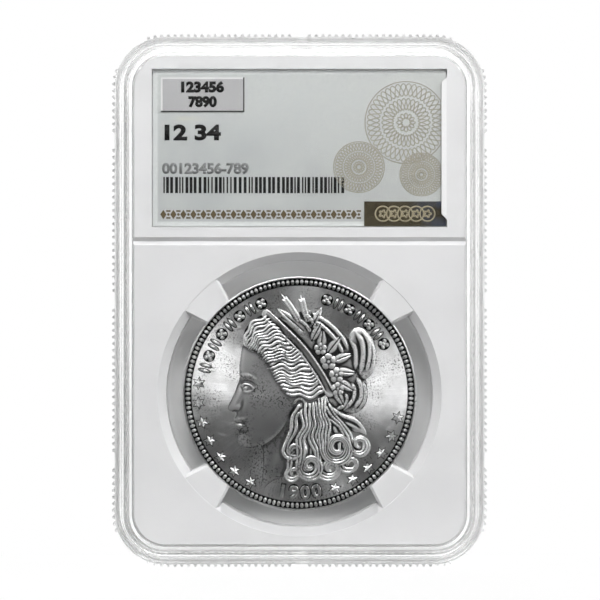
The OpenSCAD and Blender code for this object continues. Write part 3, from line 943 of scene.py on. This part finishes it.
def rosette_loops(x, z, radius, waves, depth, phases, face_y, count):
    """Interlaced wavy rings round one centre."""
    t = np.linspace(0, 2 * math.pi, count, endpoint=False)
    loops = []
    for k in range(phases):
        r = radius * (1 - depth + depth * np.cos(waves * t + 2 * math.pi * k / phases)) * MM
        across, up = x * MM + r * np.cos(t), z * MM + r * np.sin(t)
        loops.append(np.column_stack([across, np.full(count, face_y), up]))
    return loops


def guilloche(face_y):
    """Rosettes of fine tan lines, three of them, in the right half of the label."""
    rings = [
        # share of the radius, waves, their depth, rings, points
        (1.0, 14, 0.16, 3, 260),
        (0.62, 10, 0.24, 3, 260),
        (0.24, 6, 0.3, 2, 120),
        (1.05, 1, 0.0, 1, 120)]
    loops = []
    for x, z, radius in [(17.2, 71.6, 6.3), (9.6, 64.4, 3.9), (19.7, 63.2, 3.3)]:
        for share, waves, depth, phases, count in rings:
            loops += rosette_loops(x, z, share * radius, waves, depth, phases, face_y, count)
    return engraved_lines(loops, ROSETTE_LINE)


def foil_chain(face_y):
    """A chain of rings with a star-shaped loop in each, in the foil's colour of print."""
    z = (foil_lo.z + foil_hi.z) / 2 / MM
    loops = []
    for i in range(5):
        x = foil_lo.x / MM + 3.0 + 1.8 * i
        loops += rosette_loops(x, z, 1.2, 1, 0.0, 1, face_y, 48)
        loops += rosette_loops(x, z, 0.62, 5, 0.25, 1, face_y, 60)
    return engraved_lines(loops, FOIL_LINE)


def label_printing():
    card = card_lo.y
    sticker = sticker_lo.y
    middle = (sticker_lo.x + sticker_hi.x) / 2 / MM
    black = ink("ink_black", (0.003, 0.003, 0.003))
    pale = ink("ink_pale", (0.17, 0.174, 0.174))
    bronze = ink("ink_bronze", (0.095, 0.07, 0.035))
    tan = ink("ink_tan", (0.305, 0.285, 0.225))
    gold = ink("ink_foil", (0.34, 0.3, 0.2))
    for row in (
            # piece, its name, its ink, slot
            (number("12 34", -17.25, 70.0, 9.1, 2.6, card, CARD_WEIGHT), "grade_number", black, "label_card"),
            (number("00123456-789", -15.2, 64.2, 14.0, 1.9, card, CARD_WEIGHT), "serial_number", pale,
             "label_card"),
            (barcode(-22.0, 7.8, 61.5, 2.6, card), "barcode", black, "label_card"),
            (ornament_row(-22.0, 56.75, 1.62, 20, card), "ornament_row", bronze, "label_card"),
            (guilloche(card), "guilloche", tan, "label_card"),
            (joined([number("123456", middle, 77.36, 6.95, 1.87, sticker, STICKER_WEIGHT),
                     number("7890", middle, 74.94, 4.6, 1.87, sticker, STICKER_WEIGHT)]),
             "sticker_numbers", black, "sticker"),
            (foil_chain(foil_lo.y), "foil_ornament", gold, "dark_foil")):
        add_piece(*row)


# ---- Material helpers ----------------------------------------------------

def maths(operation):
    """A method that adds one Math node."""
    return lambda self, other=0.0: self.calc(operation, other)


class Value:
    """A number in a node tree: arithmetic on it adds Math nodes to the tree."""

    def __init__(self, tree, socket):
        self.tree = tree
        self.socket = socket

    def calc(self, operation, other=0.0, swap=False):
        pair = {0: other, 1: self} if swap else {0: self, 1: other}
        return Value(self.tree, node(self.tree, "ShaderNodeMath", pair, operation=operation).outputs[0])

    __add__ = maths("ADD")
    __sub__ = maths("SUBTRACT")
    __mul__ = maths("MULTIPLY")
    __truediv__ = maths("DIVIDE")
    __pow__ = maths("POWER")
    __gt__ = maths("GREATER_THAN")
    __lt__ = maths("LESS_THAN")
    __abs__ = maths("ABSOLUTE")
    most = maths("MAXIMUM")
    least = maths("MINIMUM")
    root = maths("SQRT")
    sine = maths("SINE")

    def __rtruediv__(self, other):
        return self.calc("DIVIDE", other, swap=True)

    def __rsub__(self, other):
        return self.calc("SUBTRACT", other, swap=True)

    def ranged(self, lo, hi, out_lo=0.0, out_hi=1.0):
        """The value mapped from one range to another, smoothly at both ends."""
        sockets = {"Value": self, "From Min": lo, "From Max": hi, "To Min": out_lo, "To Max": out_hi}
        made = node(self.tree, "ShaderNodeMapRange", sockets, interpolation_type="SMOOTHSTEP")
        return Value(self.tree, made.outputs[0])

    def under(self, lo, hi):
        """1 up to the first limit, 0 past the second."""
        return self.ranged(lo, hi, 1.0, 0.0)

    def within(self, rise, fall):
        """1 from the end of the first span to the start of the second."""
        return self.ranged(*rise) * self.under(*fall)


def connect(tree, source, target):
    """Links a socket to an input, or writes a plain value there."""
    source = getattr(source, "socket", source)
    if isinstance(source, bpy.types.NodeSocket):
        tree.links.new(source, target)
    else:
        target.default_value = source


def node(tree, kind, inputs=(), **settings):
    made = tree.nodes.new(kind)
    for key, value in settings.items():
        setattr(made, key, value)
    for key, value in dict(inputs).items():
        connect(tree, value, made.inputs[key])
    return made


def mixed(tree, amount, a, b):
    """A colour between two others."""
    made = node(tree, "ShaderNodeMix", data_type="RGBA")
    for source, target in ((amount, 0), (a, 6), (b, 7)):
        connect(tree, (*source, 1) if isinstance(source, tuple) else source, made.inputs[target])
    return made.outputs[2]


def span(limits, side=1):
    """Limits given in millimetres, in the metres that the nodes work in."""
    return [side * limit * MM for limit in limits]


def place_of(tree):
    return tree.nodes.new("ShaderNodeTexCoord").outputs["Object"]


def parts_of(tree, vector):
    """The x, y and z of a vector."""
    return [Value(tree, socket) for socket in node(tree, "ShaderNodeSeparateXYZ", {0: vector}).outputs]


def upright(tree, x, z):
    """A vector with no depth."""
    return node(tree, "ShaderNodeCombineXYZ", {0: x, 2: z}).outputs[0]


def length_of(tree, vector):
    made = node(tree, "ShaderNodeVectorMath", {0: vector}, operation="LENGTH")
    return Value(tree, made.outputs["Value"])


def from_coin(tree):
    """The way to a point from the middle of the coin."""
    sockets = {0: place_of(tree), 1: tuple(COIN)}
    return node(tree, "ShaderNodeVectorMath", sockets, operation="SUBTRACT").outputs[0]


def noise(tree, scale, detail, vector=None, **inputs):
    vector = place_of(tree) if vector is None else vector
    sockets = {"Vector": vector, "Scale": scale, "Detail": detail, **inputs}
    return Value(tree, node(tree, "ShaderNodeTexNoise", sockets).outputs[0])


def bump(tree, height, distance, strength=1.0):
    """A Bump node for a height between 0 and 1, with its depth in millimetres."""
    sockets = {"Height": height, "Distance": distance * MM, "Strength": strength}
    return node(tree, "ShaderNodeBump", sockets).outputs[0]


def new_group(name, output, **inputs):
    """A node group: its tree, its inputs by name and its one output."""
    tree = bpy.data.node_groups.new(name, "ShaderNodeTree")
    for label, value in inputs.items():
        socket = tree.interface.new_socket(name=label, in_out="INPUT", socket_type="NodeSocketFloat")
        socket.default_value = value
    tree.interface.new_socket(name=output, in_out="OUTPUT", socket_type="NodeSocketFloat")
    sockets = tree.nodes.new("NodeGroupInput").outputs
    given = {label: Value(tree, sockets[label]) for label in inputs}
    return tree, given, tree.nodes.new("NodeGroupOutput").inputs[output]


def mottle():
    """Soft cloudy variation between two values."""
    tree, given, result = new_group("mottle", "Value", Size=1.0, Low=0.0, High=1.0)
    cloud = noise(tree, 1 / MM / given["Size"], 4.0)
    connect(tree, cloud.ranged(0.3, 0.7, given["Low"], given["High"]), result)
    return tree


def hairlines():
    """Fine straight hairlines in two directions."""
    tree, given, result = new_group("hairlines", "Mask", Length=6.0, Cover=0.5)
    lines = []
    for turn in (0.5, 2.2):
        stretch = node(tree, "ShaderNodeMapping", {"Vector": place_of(tree), "Rotation": (0, turn, 0),
                                                   "Scale": (1, 8, 40)})
        streaks = noise(tree, 1 / MM / given["Length"], 3.0, stretch.outputs[0])
        lines.append(streaks.ranged(0.62, 0.72))
    connect(tree, lines[0].most(lines[1]) * given["Cover"], result)
    return tree


def grain():
    """Even fine grain, as on moulded plastic, paper or frosted metal."""
    tree, given, result = new_group("grain", "Height", Size=0.2)
    connect(tree, noise(tree, 1 / MM / given["Size"], 2.0, Roughness=0.6), result)
    return tree


def flow_lines():
    """Radial flow lines round the coin's axis."""
    tree, given, result = new_group("flow_lines", "Streaks", Fineness=60.0)
    x, _, z = parts_of(tree, from_coin(tree))
    radius = (x * x + z * z).root()
    safe = radius.most(0.01 * MM)
    across, up = [side / safe * given["Fineness"] for side in (x, z)]
    fan = node(tree, "ShaderNodeCombineXYZ", {0: across, 1: up, 2: radius * (0.12 / MM)})
    connect(tree, noise(tree, 1.0, 3.0, fan.outputs[0]), result)
    return tree


GROUPS = {}


def use(tree, maker, **values):
    """Places a shared node group and returns its output."""
    if maker not in GROUPS:
        GROUPS[maker] = maker()
    made = node(tree, "ShaderNodeGroup", node_tree=GROUPS[maker])
    for key, value in values.items():
        connect(tree, value, made.inputs[key])
    return Value(tree, made.outputs[0])


def new_material(name):
    """A material: itself, its node tree and its Principled shader."""
    material = bpy.data.materials.new(name)
    material.use_nodes = True
    tree = material.node_tree
    return material, tree, tree.nodes["Principled BSDF"]


def surface(tree, shader, colour, rough, normal=None):
    """Connects a shader's colour, roughness and normal."""
    for source, name in ((colour, "Base Color"), (rough, "Roughness"), (normal, "Normal")):
        if source is not None:
            connect(tree, source, shader.inputs[name])


# ---- Materials -----------------------------------------------------------

# Where the clear plastic is frosted, and greyed in painted shade: depths in from the slab's outline in
# millimetres.
FROSTED_RIM = (2.9, 3.3)
SKIRT_FROST_AND_SHADE = (0.7, 1.1)
TEETH = (0.4, 0.6)
# Parts of the white core painted in place of light and shade, as the spans where each sets in and ends: a
# painted highlight on the strip beside the label, painted light on the wall over it, painted shade on the
# bevel under the coin.
STRIP_LEFT = (22.75, 22.85)
STRIP_RIGHT = (23.65, 23.75)
STRIP_HEIGHTS = (56.6, 78.6)
WALL_HEIGHT = 0.5
WALL_DEPTH = 0.04
BEVEL_INNER = (21.5, 21.6)
BEVEL_OUTER = (22.8, 22.9)
BEVEL_SIDES = (12.5, 12.9)
BEVEL_DROP = 14
# Radius over which the coin's field rounds off, in millimetres, and how far.
BASIN_RADIUS = 17
BASIN_DEPTH = 0.44
# Height of the faint stain on the card, in millimetres over its foot.
STAIN_HEIGHT = 17.4


def edge_depth(tree):
    """Depth inwards from the slab's rounded outline, in millimetres."""
    x, _, z = parts_of(tree, place_of(tree))
    across = abs(x) - (shell_hi.x - SLAB_CORNER)
    over = abs(z - SLAB_MID) - (shell_hi.z - SLAB_MID - SLAB_CORNER)
    outside = length_of(tree, upright(tree, across.most(0.0), over.most(0.0)))
    inside = across.most(over).least(0.0)
    return (SLAB_CORNER - (outside + inside)) / MM


def clear_plastic(name, tint):
    """Clear plastic: polished faces, a frosted rim greyed in painted shade; light passes it without a shadow.
    """
    material, tree, shader = new_material(name)
    marks = use(tree, hairlines, Length=7.0, Cover=0.5)
    cloud = use(tree, mottle, Size=14.0, Low=0.985, High=1.0)
    depth = edge_depth(tree)
    rim, skirt, teeth = [depth.under(*limits) for limits in (FROSTED_RIM, SKIRT_FROST_AND_SHADE, TEETH)]
    band = skirt - teeth * 0.2
    # Painted shade: the plastic's colour greys towards its outline, most in the skirt.
    grey = rim.ranged(0.0, 1.0, 1.0, 0.95) * band.ranged(0.0, 1.0, 1.0, 0.8)
    colour = node(tree, "ShaderNodeVectorMath", {0: tint, "Scale": cloud * grey}, operation="SCALE")
    worn = use(tree, mottle, Size=3.0, Low=0.12, High=0.22) + (skirt + teeth) * 0.16
    smooth = marks.ranged(0.0, 0.5, 0.02, 0.09)
    rough = node(tree, "ShaderNodeMix", {0: rim, 2: smooth, 3: worn})
    surface(tree, shader, colour.outputs[0], rough.outputs[0], bump(tree, marks, -0.004, 0.4))
    shader.inputs["IOR"].default_value = 1.49
    shader.inputs["Transmission Weight"].default_value = 1.0
    path = tree.nodes.new("ShaderNodeLightPath").outputs
    through = tree.nodes.new("ShaderNodeBsdfTransparent").outputs[0]
    both = node(tree, "ShaderNodeMixShader", {0: path["Is Shadow Ray"], 1: shader.outputs[0], 2: through})
    connect(tree, both.outputs[0], tree.nodes["Material Output"].inputs["Surface"])
    return material


def satin_white(name):
    """Moulded white core: satin, very slightly uneven; painted light by the label, painted shade under the
    coin.
    """
    material, tree, shader = new_material(name)
    cloud = use(tree, mottle, Size=9.0, Low=0.0, High=1.0)
    colour = mixed(tree, cloud, (0.55, 0.55, 0.555), (0.585, 0.585, 0.59))
    x, y, z = parts_of(tree, place_of(tree))
    bottom, top = span(STRIP_HEIGHTS)
    # Painted highlight on the strip beside the label.
    strip = x.within(span(STRIP_LEFT), span(STRIP_RIGHT)) * (y < 0.0) * (z > bottom) * (z < top)
    colour = mixed(tree, strip, colour, (0.66, 0.66, 0.66))
    # Painted light on the wall over the label card, lifting its shade.
    wall = (y > core_lo.y + WALL_DEPTH * MM) * (z > card_hi.z) * (z < card_hi.z + WALL_HEIGHT * MM)
    colour = mixed(tree, wall, colour, (0.95, 0.95, 0.95))
    # Painted shade on the lower part of the bevel round the coin.
    bevel = length_of(tree, upright(tree, x, z - COIN.z)).within(span(BEVEL_INNER), span(BEVEL_OUTER))
    low = z.ranged(COIN.z, COIN.z - BEVEL_DROP * MM) * abs(x).under(*span(BEVEL_SIDES))
    colour = mixed(tree, bevel * low, colour, (0.42, 0.42, 0.425))
    rough = use(tree, mottle, Size=2.5, Low=0.36, High=0.48)
    surface(tree, shader, colour, rough, bump(tree, use(tree, grain, Size=0.22), 0.012, 0.35))
    return material


def coin_silver(name, lustre, polish, flow_depth, pale):
    """Struck silver with radial lustre, frost, small contact marks and painted shade in its hollows."""
    material, tree, shader = new_material(name)
    flow = use(tree, flow_lines, Fineness=70.0)
    cloud = use(tree, mottle, Size=3.2, Low=0.0, High=1.0)
    tone = cloud * flow.ranged(0.3, 0.7, 1.0 - flow_depth, 1.0)
    base = mixed(tree, tone, (pale[0],) * 3, (pale[1],) * 3)
    pits = noise(tree, 1 / (0.3 * MM), 3.0).ranged(0.52, 0.6)
    spots = pits * use(tree, mottle, Size=4.5, Low=-0.6, High=1.0).most(0.0)
    base = mixed(tree, spots * 0.85, base, (0.1, 0.1, 0.1))
    # Painted shade: the base goes black in gaps, hollows, at the feet of raised pieces and between the beads.
    painted_shade = Value(tree, node(tree, "ShaderNodeAttribute", attribute_name="painted_shade").outputs["Fac"])
    base = mixed(tree, painted_shade * 0.97, base, (0.008, 0.008, 0.008))
    rough = flow.ranged(0.3, 0.7, polish, polish + 0.14 * flow_depth) + cloud * 0.03
    arm = from_coin(tree)
    basin = (length_of(tree, arm) / (BASIN_RADIUS * MM)) ** 2.0 * BASIN_DEPTH
    depth = 0.01 + 0.04 * flow_depth
    height = flow * flow_depth + use(tree, grain, Size=0.16) * 0.25
    height = height - use(tree, hairlines, Length=2.4, Cover=1.0) * 0.5 - basin / (0.5 * depth)
    surface(tree, shader, base, rough, bump(tree, height, depth, 0.5))
    shader.distribution = "GGX"
    shader.inputs["Metallic"].default_value = 1.0
    shader.inputs["Anisotropic"].default_value = lustre
    x, _, z = parts_of(tree, arm)
    tangent = node(tree, "ShaderNodeVectorMath", {0: upright(tree, z * -1.0, x)}, operation="NORMALIZE")
    connect(tree, tangent.outputs[0], shader.inputs["Tangent"])
    return material


def on_piece(tree, lo, hi):
    """Place across and up a flat piece, and its width and height, all in millimetres."""
    x, _, z = parts_of(tree, place_of(tree))
    return (x - lo.x) / MM, (z - lo.z) / MM, (hi.x - lo.x) / MM, (hi.z - lo.z) / MM


def card_paper(name):
    """Coated silver-grey card: paler towards its top, cloudy, with fine fibres, a faint stain and painted
    light at its edges.
    """
    material, tree, shader = new_material(name)
    left, low, width, height = on_piece(tree, card_lo, card_hi)
    base = mixed(tree, low.ranged(0.35 * height, height), (0.33, 0.347, 0.344), (0.455, 0.476, 0.471))
    stain = left.within((2.5, 5.0), (5.0, 9.0)) * abs(low - STAIN_HEIGHT).under(0.0, 0.6)
    fibres = use(tree, grain, Size=0.3)
    for amount, colour in (
            (left.ranged(0.0, width) * 0.35, (0.42, 0.42, 0.395)),
            (use(tree, mottle, Size=8.0, Low=0.0, High=0.5), (0.445, 0.46, 0.445)),
            # Painted highlight along its left and bottom edges.
            (left.least(low).ranged(0.55, 0.95, 0.6, 0.0), (0.64, 0.66, 0.65)),
            # Painted light under its top edge, lifting the shade there.
            (low.ranged(height - 0.75, height - 0.45, 0.0, 0.5), (0.8, 0.82, 0.81)),
            (stain * 0.35, (0.52, 0.52, 0.34)),
            (fibres.ranged(0.35, 0.65, 0.0, 0.3), (0.34, 0.355, 0.355))):
        base = mixed(tree, amount, base, colour)
    rough = use(tree, mottle, Size=1.5, Low=0.4, High=0.55)
    surface(tree, shader, base, rough, bump(tree, fibres, 0.01, 0.5))
    return material


def sticker_paper(name):
    """Grey sticker with a painted highlight at its top and left and painted shade at its right and bottom."""
    material, tree, shader = new_material(name)
    left, low, width, height = on_piece(tree, sticker_lo, sticker_hi)
    # Painted highlight and painted shade along its edges.
    light = (left < 0.28).most(low > height - 0.28)
    dark = (left > width - 0.2).most(low < 0.2)
    fibres = use(tree, grain, Size=0.15)
    base = mixed(tree, fibres.ranged(0.3, 0.7), (0.325, 0.325, 0.33), (0.37, 0.37, 0.37))
    base = mixed(tree, light, base, (0.58, 0.58, 0.58))
    base = mixed(tree, dark, base, (0.006, 0.006, 0.006))
    rough = use(tree, mottle, Size=2.0, Low=0.5, High=0.65)
    surface(tree, shader, base, rough, bump(tree, fibres, 0.01, 0.4))
    return material


def dark_foil(name):
    """Olive-brown foil with fine ruled lines and a cool painted sheen towards its right."""
    material, tree, shader = new_material(name)
    left, low, width, _ = on_piece(tree, foil_lo, foil_hi)
    ruled = ((left + low * 0.7) * 26.0).sine()
    cloud = use(tree, mottle, Size=2.6, Low=0.0, High=1.0)
    base = mixed(tree, cloud, (0.085, 0.072, 0.045), (0.115, 0.098, 0.066))
    # Painted sheen: cool colour in clouds towards the right.
    base = mixed(tree, left.ranged(0.45 * width, width) * cloud, base, (0.07, 0.105, 0.19))
    base = mixed(tree, ruled.ranged(0.2, 1.0, 0.0, 0.4), base, (0.14, 0.12, 0.075))
    surface(tree, shader, base, ruled.ranged(-1.0, 1.0, 0.24, 0.36), bump(tree, ruled, 0.004, 0.4))
    shader.inputs["Metallic"].default_value = 0.7
    return material


def ink(name, colour):
    """Printing ink: a little uneven in density, with a soft gloss."""
    material, tree, shader = new_material(name)
    density = use(tree, mottle, Size=0.7, Low=0.0, High=1.0)
    paler = tuple(c * 0.9 + 0.008 for c in colour)
    rough = use(tree, mottle, Size=1.2, Low=0.4, High=0.55)
    surface(tree, shader, mixed(tree, density, colour, paler), rough)
    shader.inputs["Specular IOR Level"].default_value = 0.2
    return material


# ---- Stage ---------------------------------------------------------------

WHITE = (1, 1, 1, 1)
# Painted glow and shade of the sheet behind the slab, as seen through the clear plastic: around the core,
# behind the core and at the four edges of the slab.
PAPER_GLOW = 0.5
SHADED_GLOW = 0.0
LEFT_GLOW = 0.64
RIGHT_GLOW = 0.3
LOW_GLOW = 0.48
TOP_GLOW = 0.04
# Where the sheet changes, in millimetres from the slab's middle: past the core's sides and ends, out to the
# slab's own, and where a painted shadow of the slab touches it at the left and on top.
CORE_SIDES = (22, 27)
CORE_ENDS = (34, 40)
SLAB_SIDES = (27, 30)
SLAB_ENDS = (39.5, 42.5)
CONTACT_LEFT = (30.3, 31.0)
CONTACT_TOP = (42.8, 43.4)
# Its glow's painted lift from the coin up to the label, and its fall towards the right.
LIFT_HEIGHTS = (24, 48)
LIFT = 0.2
FALL_WIDTHS = (8, 24)
FALL = -0.05
# The room, behind the camera and to the sides.
FRONT_DARK = 0.02
SIDE_BRIGHT = 0.5
# The floor is dark in front, where the coin mirrors it, and pale under and behind the slab.
FLOOR_DARK_TO_PALE = (-20, -5)
FLOOR_DARK = 0.06
FLOOR_PALE = 0.85


def staged(name, size, place, turn, material):
    deselect()
    bpy.ops.mesh.primitive_plane_add(size=size, location=place, rotation=turn)
    sheet = settle(bpy.context.object)
    sheet.name = name
    give(sheet, material)


def emission(tree, strength=1.0):
    return node(tree, "ShaderNodeEmission", {"Color": WHITE, "Strength": strength}).outputs[0]


def diffuse(tree, colour):
    return node(tree, "ShaderNodeBsdfDiffuse", {"Color": colour}).outputs[0]


def blend(tree, amount, a, b):
    """A shader between two others."""
    return node(tree, "ShaderNodeMixShader", {0: amount, 1: a, 2: b}).outputs[0]


def empty_material(name):
    material, tree, _ = new_material(name)
    tree.nodes.clear()
    return material, tree, tree.nodes.new("ShaderNodeLightPath").outputs


def backdrop():
    """A sheet close behind the slab: plain white around it; through its clear plastic, lit paper with a
    painted glow and shadow.
    """
    material, tree, path = empty_material("backdrop_white")
    x, _, z = parts_of(tree, place_of(tree))
    up = z - SLAB_MID
    open_paper = abs(x).ranged(*span(CORE_SIDES)).most(abs(up).ranged(*span(CORE_ENDS)))
    level = open_paper.ranged(0.0, 1.0, SHADED_GLOW, PAPER_GLOW)
    level = level + z.ranged(*span(LIFT_HEIGHTS), 0.0, LIFT) + x.ranged(*span(FALL_WIDTHS), 0.0, FALL)
    for along, limits, side, glow in (
            (x, SLAB_SIDES, -1, LEFT_GLOW), (x, SLAB_SIDES, 1, RIGHT_GLOW),
            (up, SLAB_ENDS, -1, LOW_GLOW), (up, SLAB_ENDS, 1, TOP_GLOW)):
        level = level + along.ranged(*span(limits, side), 0.0, glow - PAPER_GLOW)
    # Painted shadow where the slab touches the sheet, and the paper greyer behind the core, painted shade.
    contact = x.ranged(*span(CONTACT_LEFT, -1)).most(up.ranged(*span(CONTACT_TOP)))
    glow = emission(tree, level.most(0.0) * contact.under(0.0, 1.0))
    shaded = mixed(tree, open_paper, (0.7, 0.7, 0.7), (0.8, 0.8, 0.8))
    paper = diffuse(tree, mixed(tree, contact, shaded, (0.3, 0.3, 0.3)))
    lit = node(tree, "ShaderNodeAddShader", {0: glow, 1: paper}).outputs[0]
    clear = node(tree, "ShaderNodeBsdfTransparent").outputs[0]
    through = blend(tree, path["Is Transmission Ray"], clear, lit)
    seen = blend(tree, path["Is Camera Ray"], through, emission(tree))
    back = tree.nodes.new("ShaderNodeNewGeometry").outputs["Backfacing"]
    node(tree, "ShaderNodeOutputMaterial", {0: blend(tree, back, seen, clear)})
    staged("backdrop", 0.6, (0, 6.5 * MM, 0.3), (math.radians(90), 0, 0), material)


def floor():
    """A pale floor that keeps the slab's shadow and runs into the white behind."""
    material, tree, path = empty_material("floor_pale")
    _, y, _ = parts_of(tree, place_of(tree))
    seen = Value(tree, path["Is Camera Ray"])
    tone = y.ranged(*span(FLOOR_DARK_TO_PALE), FLOOR_DARK, FLOOR_PALE).most(seen * 0.95)
    paper = diffuse(tree, mixed(tree, tone, (0, 0, 0), (1, 1, 1)))
    node(tree, "ShaderNodeOutputMaterial", {0: blend(tree, seen * 0.92, paper, emission(tree))})
    staged("floor", 3, (0, 0, 0), (0, 0, 0), material)


def lamp(name, place, size, power, aim=(0, 0, 0.043)):
    data = bpy.data.lights.new(name, "AREA")
    data.shape = "RECTANGLE"
    data.size, data.size_y = size
    data.energy = power
    holder = linked(name, data)
    holder.location = place
    holder.rotation_euler = (Vector(aim) - Vector(place)).to_track_quat("-Z", "Y").to_euler()


def studio():
    """Soft room: dim behind the camera, so that metal has something dark to show, and pale around."""
    world = bpy.data.worlds.new("studio")
    bpy.context.scene.world = world
    world.use_nodes = True
    tree = world.node_tree
    tree.nodes.clear()
    _, y, _ = parts_of(tree, tree.nodes.new("ShaderNodeTexCoord").outputs["Generated"])
    level = y.ranged(-0.4, 0.1, FRONT_DARK, SIDE_BRIGHT)
    room = node(tree, "ShaderNodeBackground", {"Color": WHITE, "Strength": level}).outputs[0]
    white = node(tree, "ShaderNodeBackground", {"Color": WHITE}).outputs[0]
    camera_ray = tree.nodes.new("ShaderNodeLightPath").outputs["Is Camera Ray"]
    node(tree, "ShaderNodeOutputWorld", {0: blend(tree, camera_ray, room, white)})
    for row in (
            # name, place, size, watts
            ("top_softbox", (0.09, -0.756, 0.758), (0.61, 0.36), 8.4),
            ("right_softbox", (0.5, -0.38, 0.06), (0.15, 0.1), 0.6),
            ("corner_softbox", (0.5, -0.6, 0.55), (0.3, 0.3), 0.15),
            ("left_softbox", (-0.75, -0.5, 0.1), (0.15, 0.4), 1.1),
            ("rear_top", (-0.25, 0.75, 0.7), (0.5, 0.35), 3.5)):
        lamp(*row)


# The camera: its distance and height, and how wide a strip it shows at the slab's front, in metres.
CAMERA_DISTANCE = 0.2
CAMERA_PLACE = (0.08 * MM, -CAMERA_DISTANCE, 42.93 * MM)
SUBJECT_DEPTH = 3.2 * MM
VIEW_WIDTH = 600 / 6.233 * MM
SENSOR = 36


def camera():
    data = bpy.data.cameras.new("camera")
    data.sensor_width = SENSOR
    data.lens = SENSOR * (CAMERA_DISTANCE - SUBJECT_DEPTH) / VIEW_WIDTH
    holder = linked("camera", data)
    holder.location = CAMERA_PLACE
    holder.rotation_euler = (math.radians(90), 0, 0)
    bpy.context.scene.camera = holder


# ---- Assembly ------------------------------------------------------------

camera()
bpy.context.scene.view_settings.view_transform = "Standard"
studio()
floor()
backdrop()

for piece, material in (
        ("front_shell", clear_plastic("clear_front", (0.985, 0.987, 0.986))),
        ("rear_shell", clear_plastic("clear_rear", (0.982, 0.984, 0.983))),
        ("core", satin_white("white_core")),
        ("label_card", card_paper("label_card")),
        ("grade_sticker", sticker_paper("sticker")),
        ("foil_patch", dark_foil("dark_foil"))):
    give(NODES[piece], material)
label_printing()
coin()
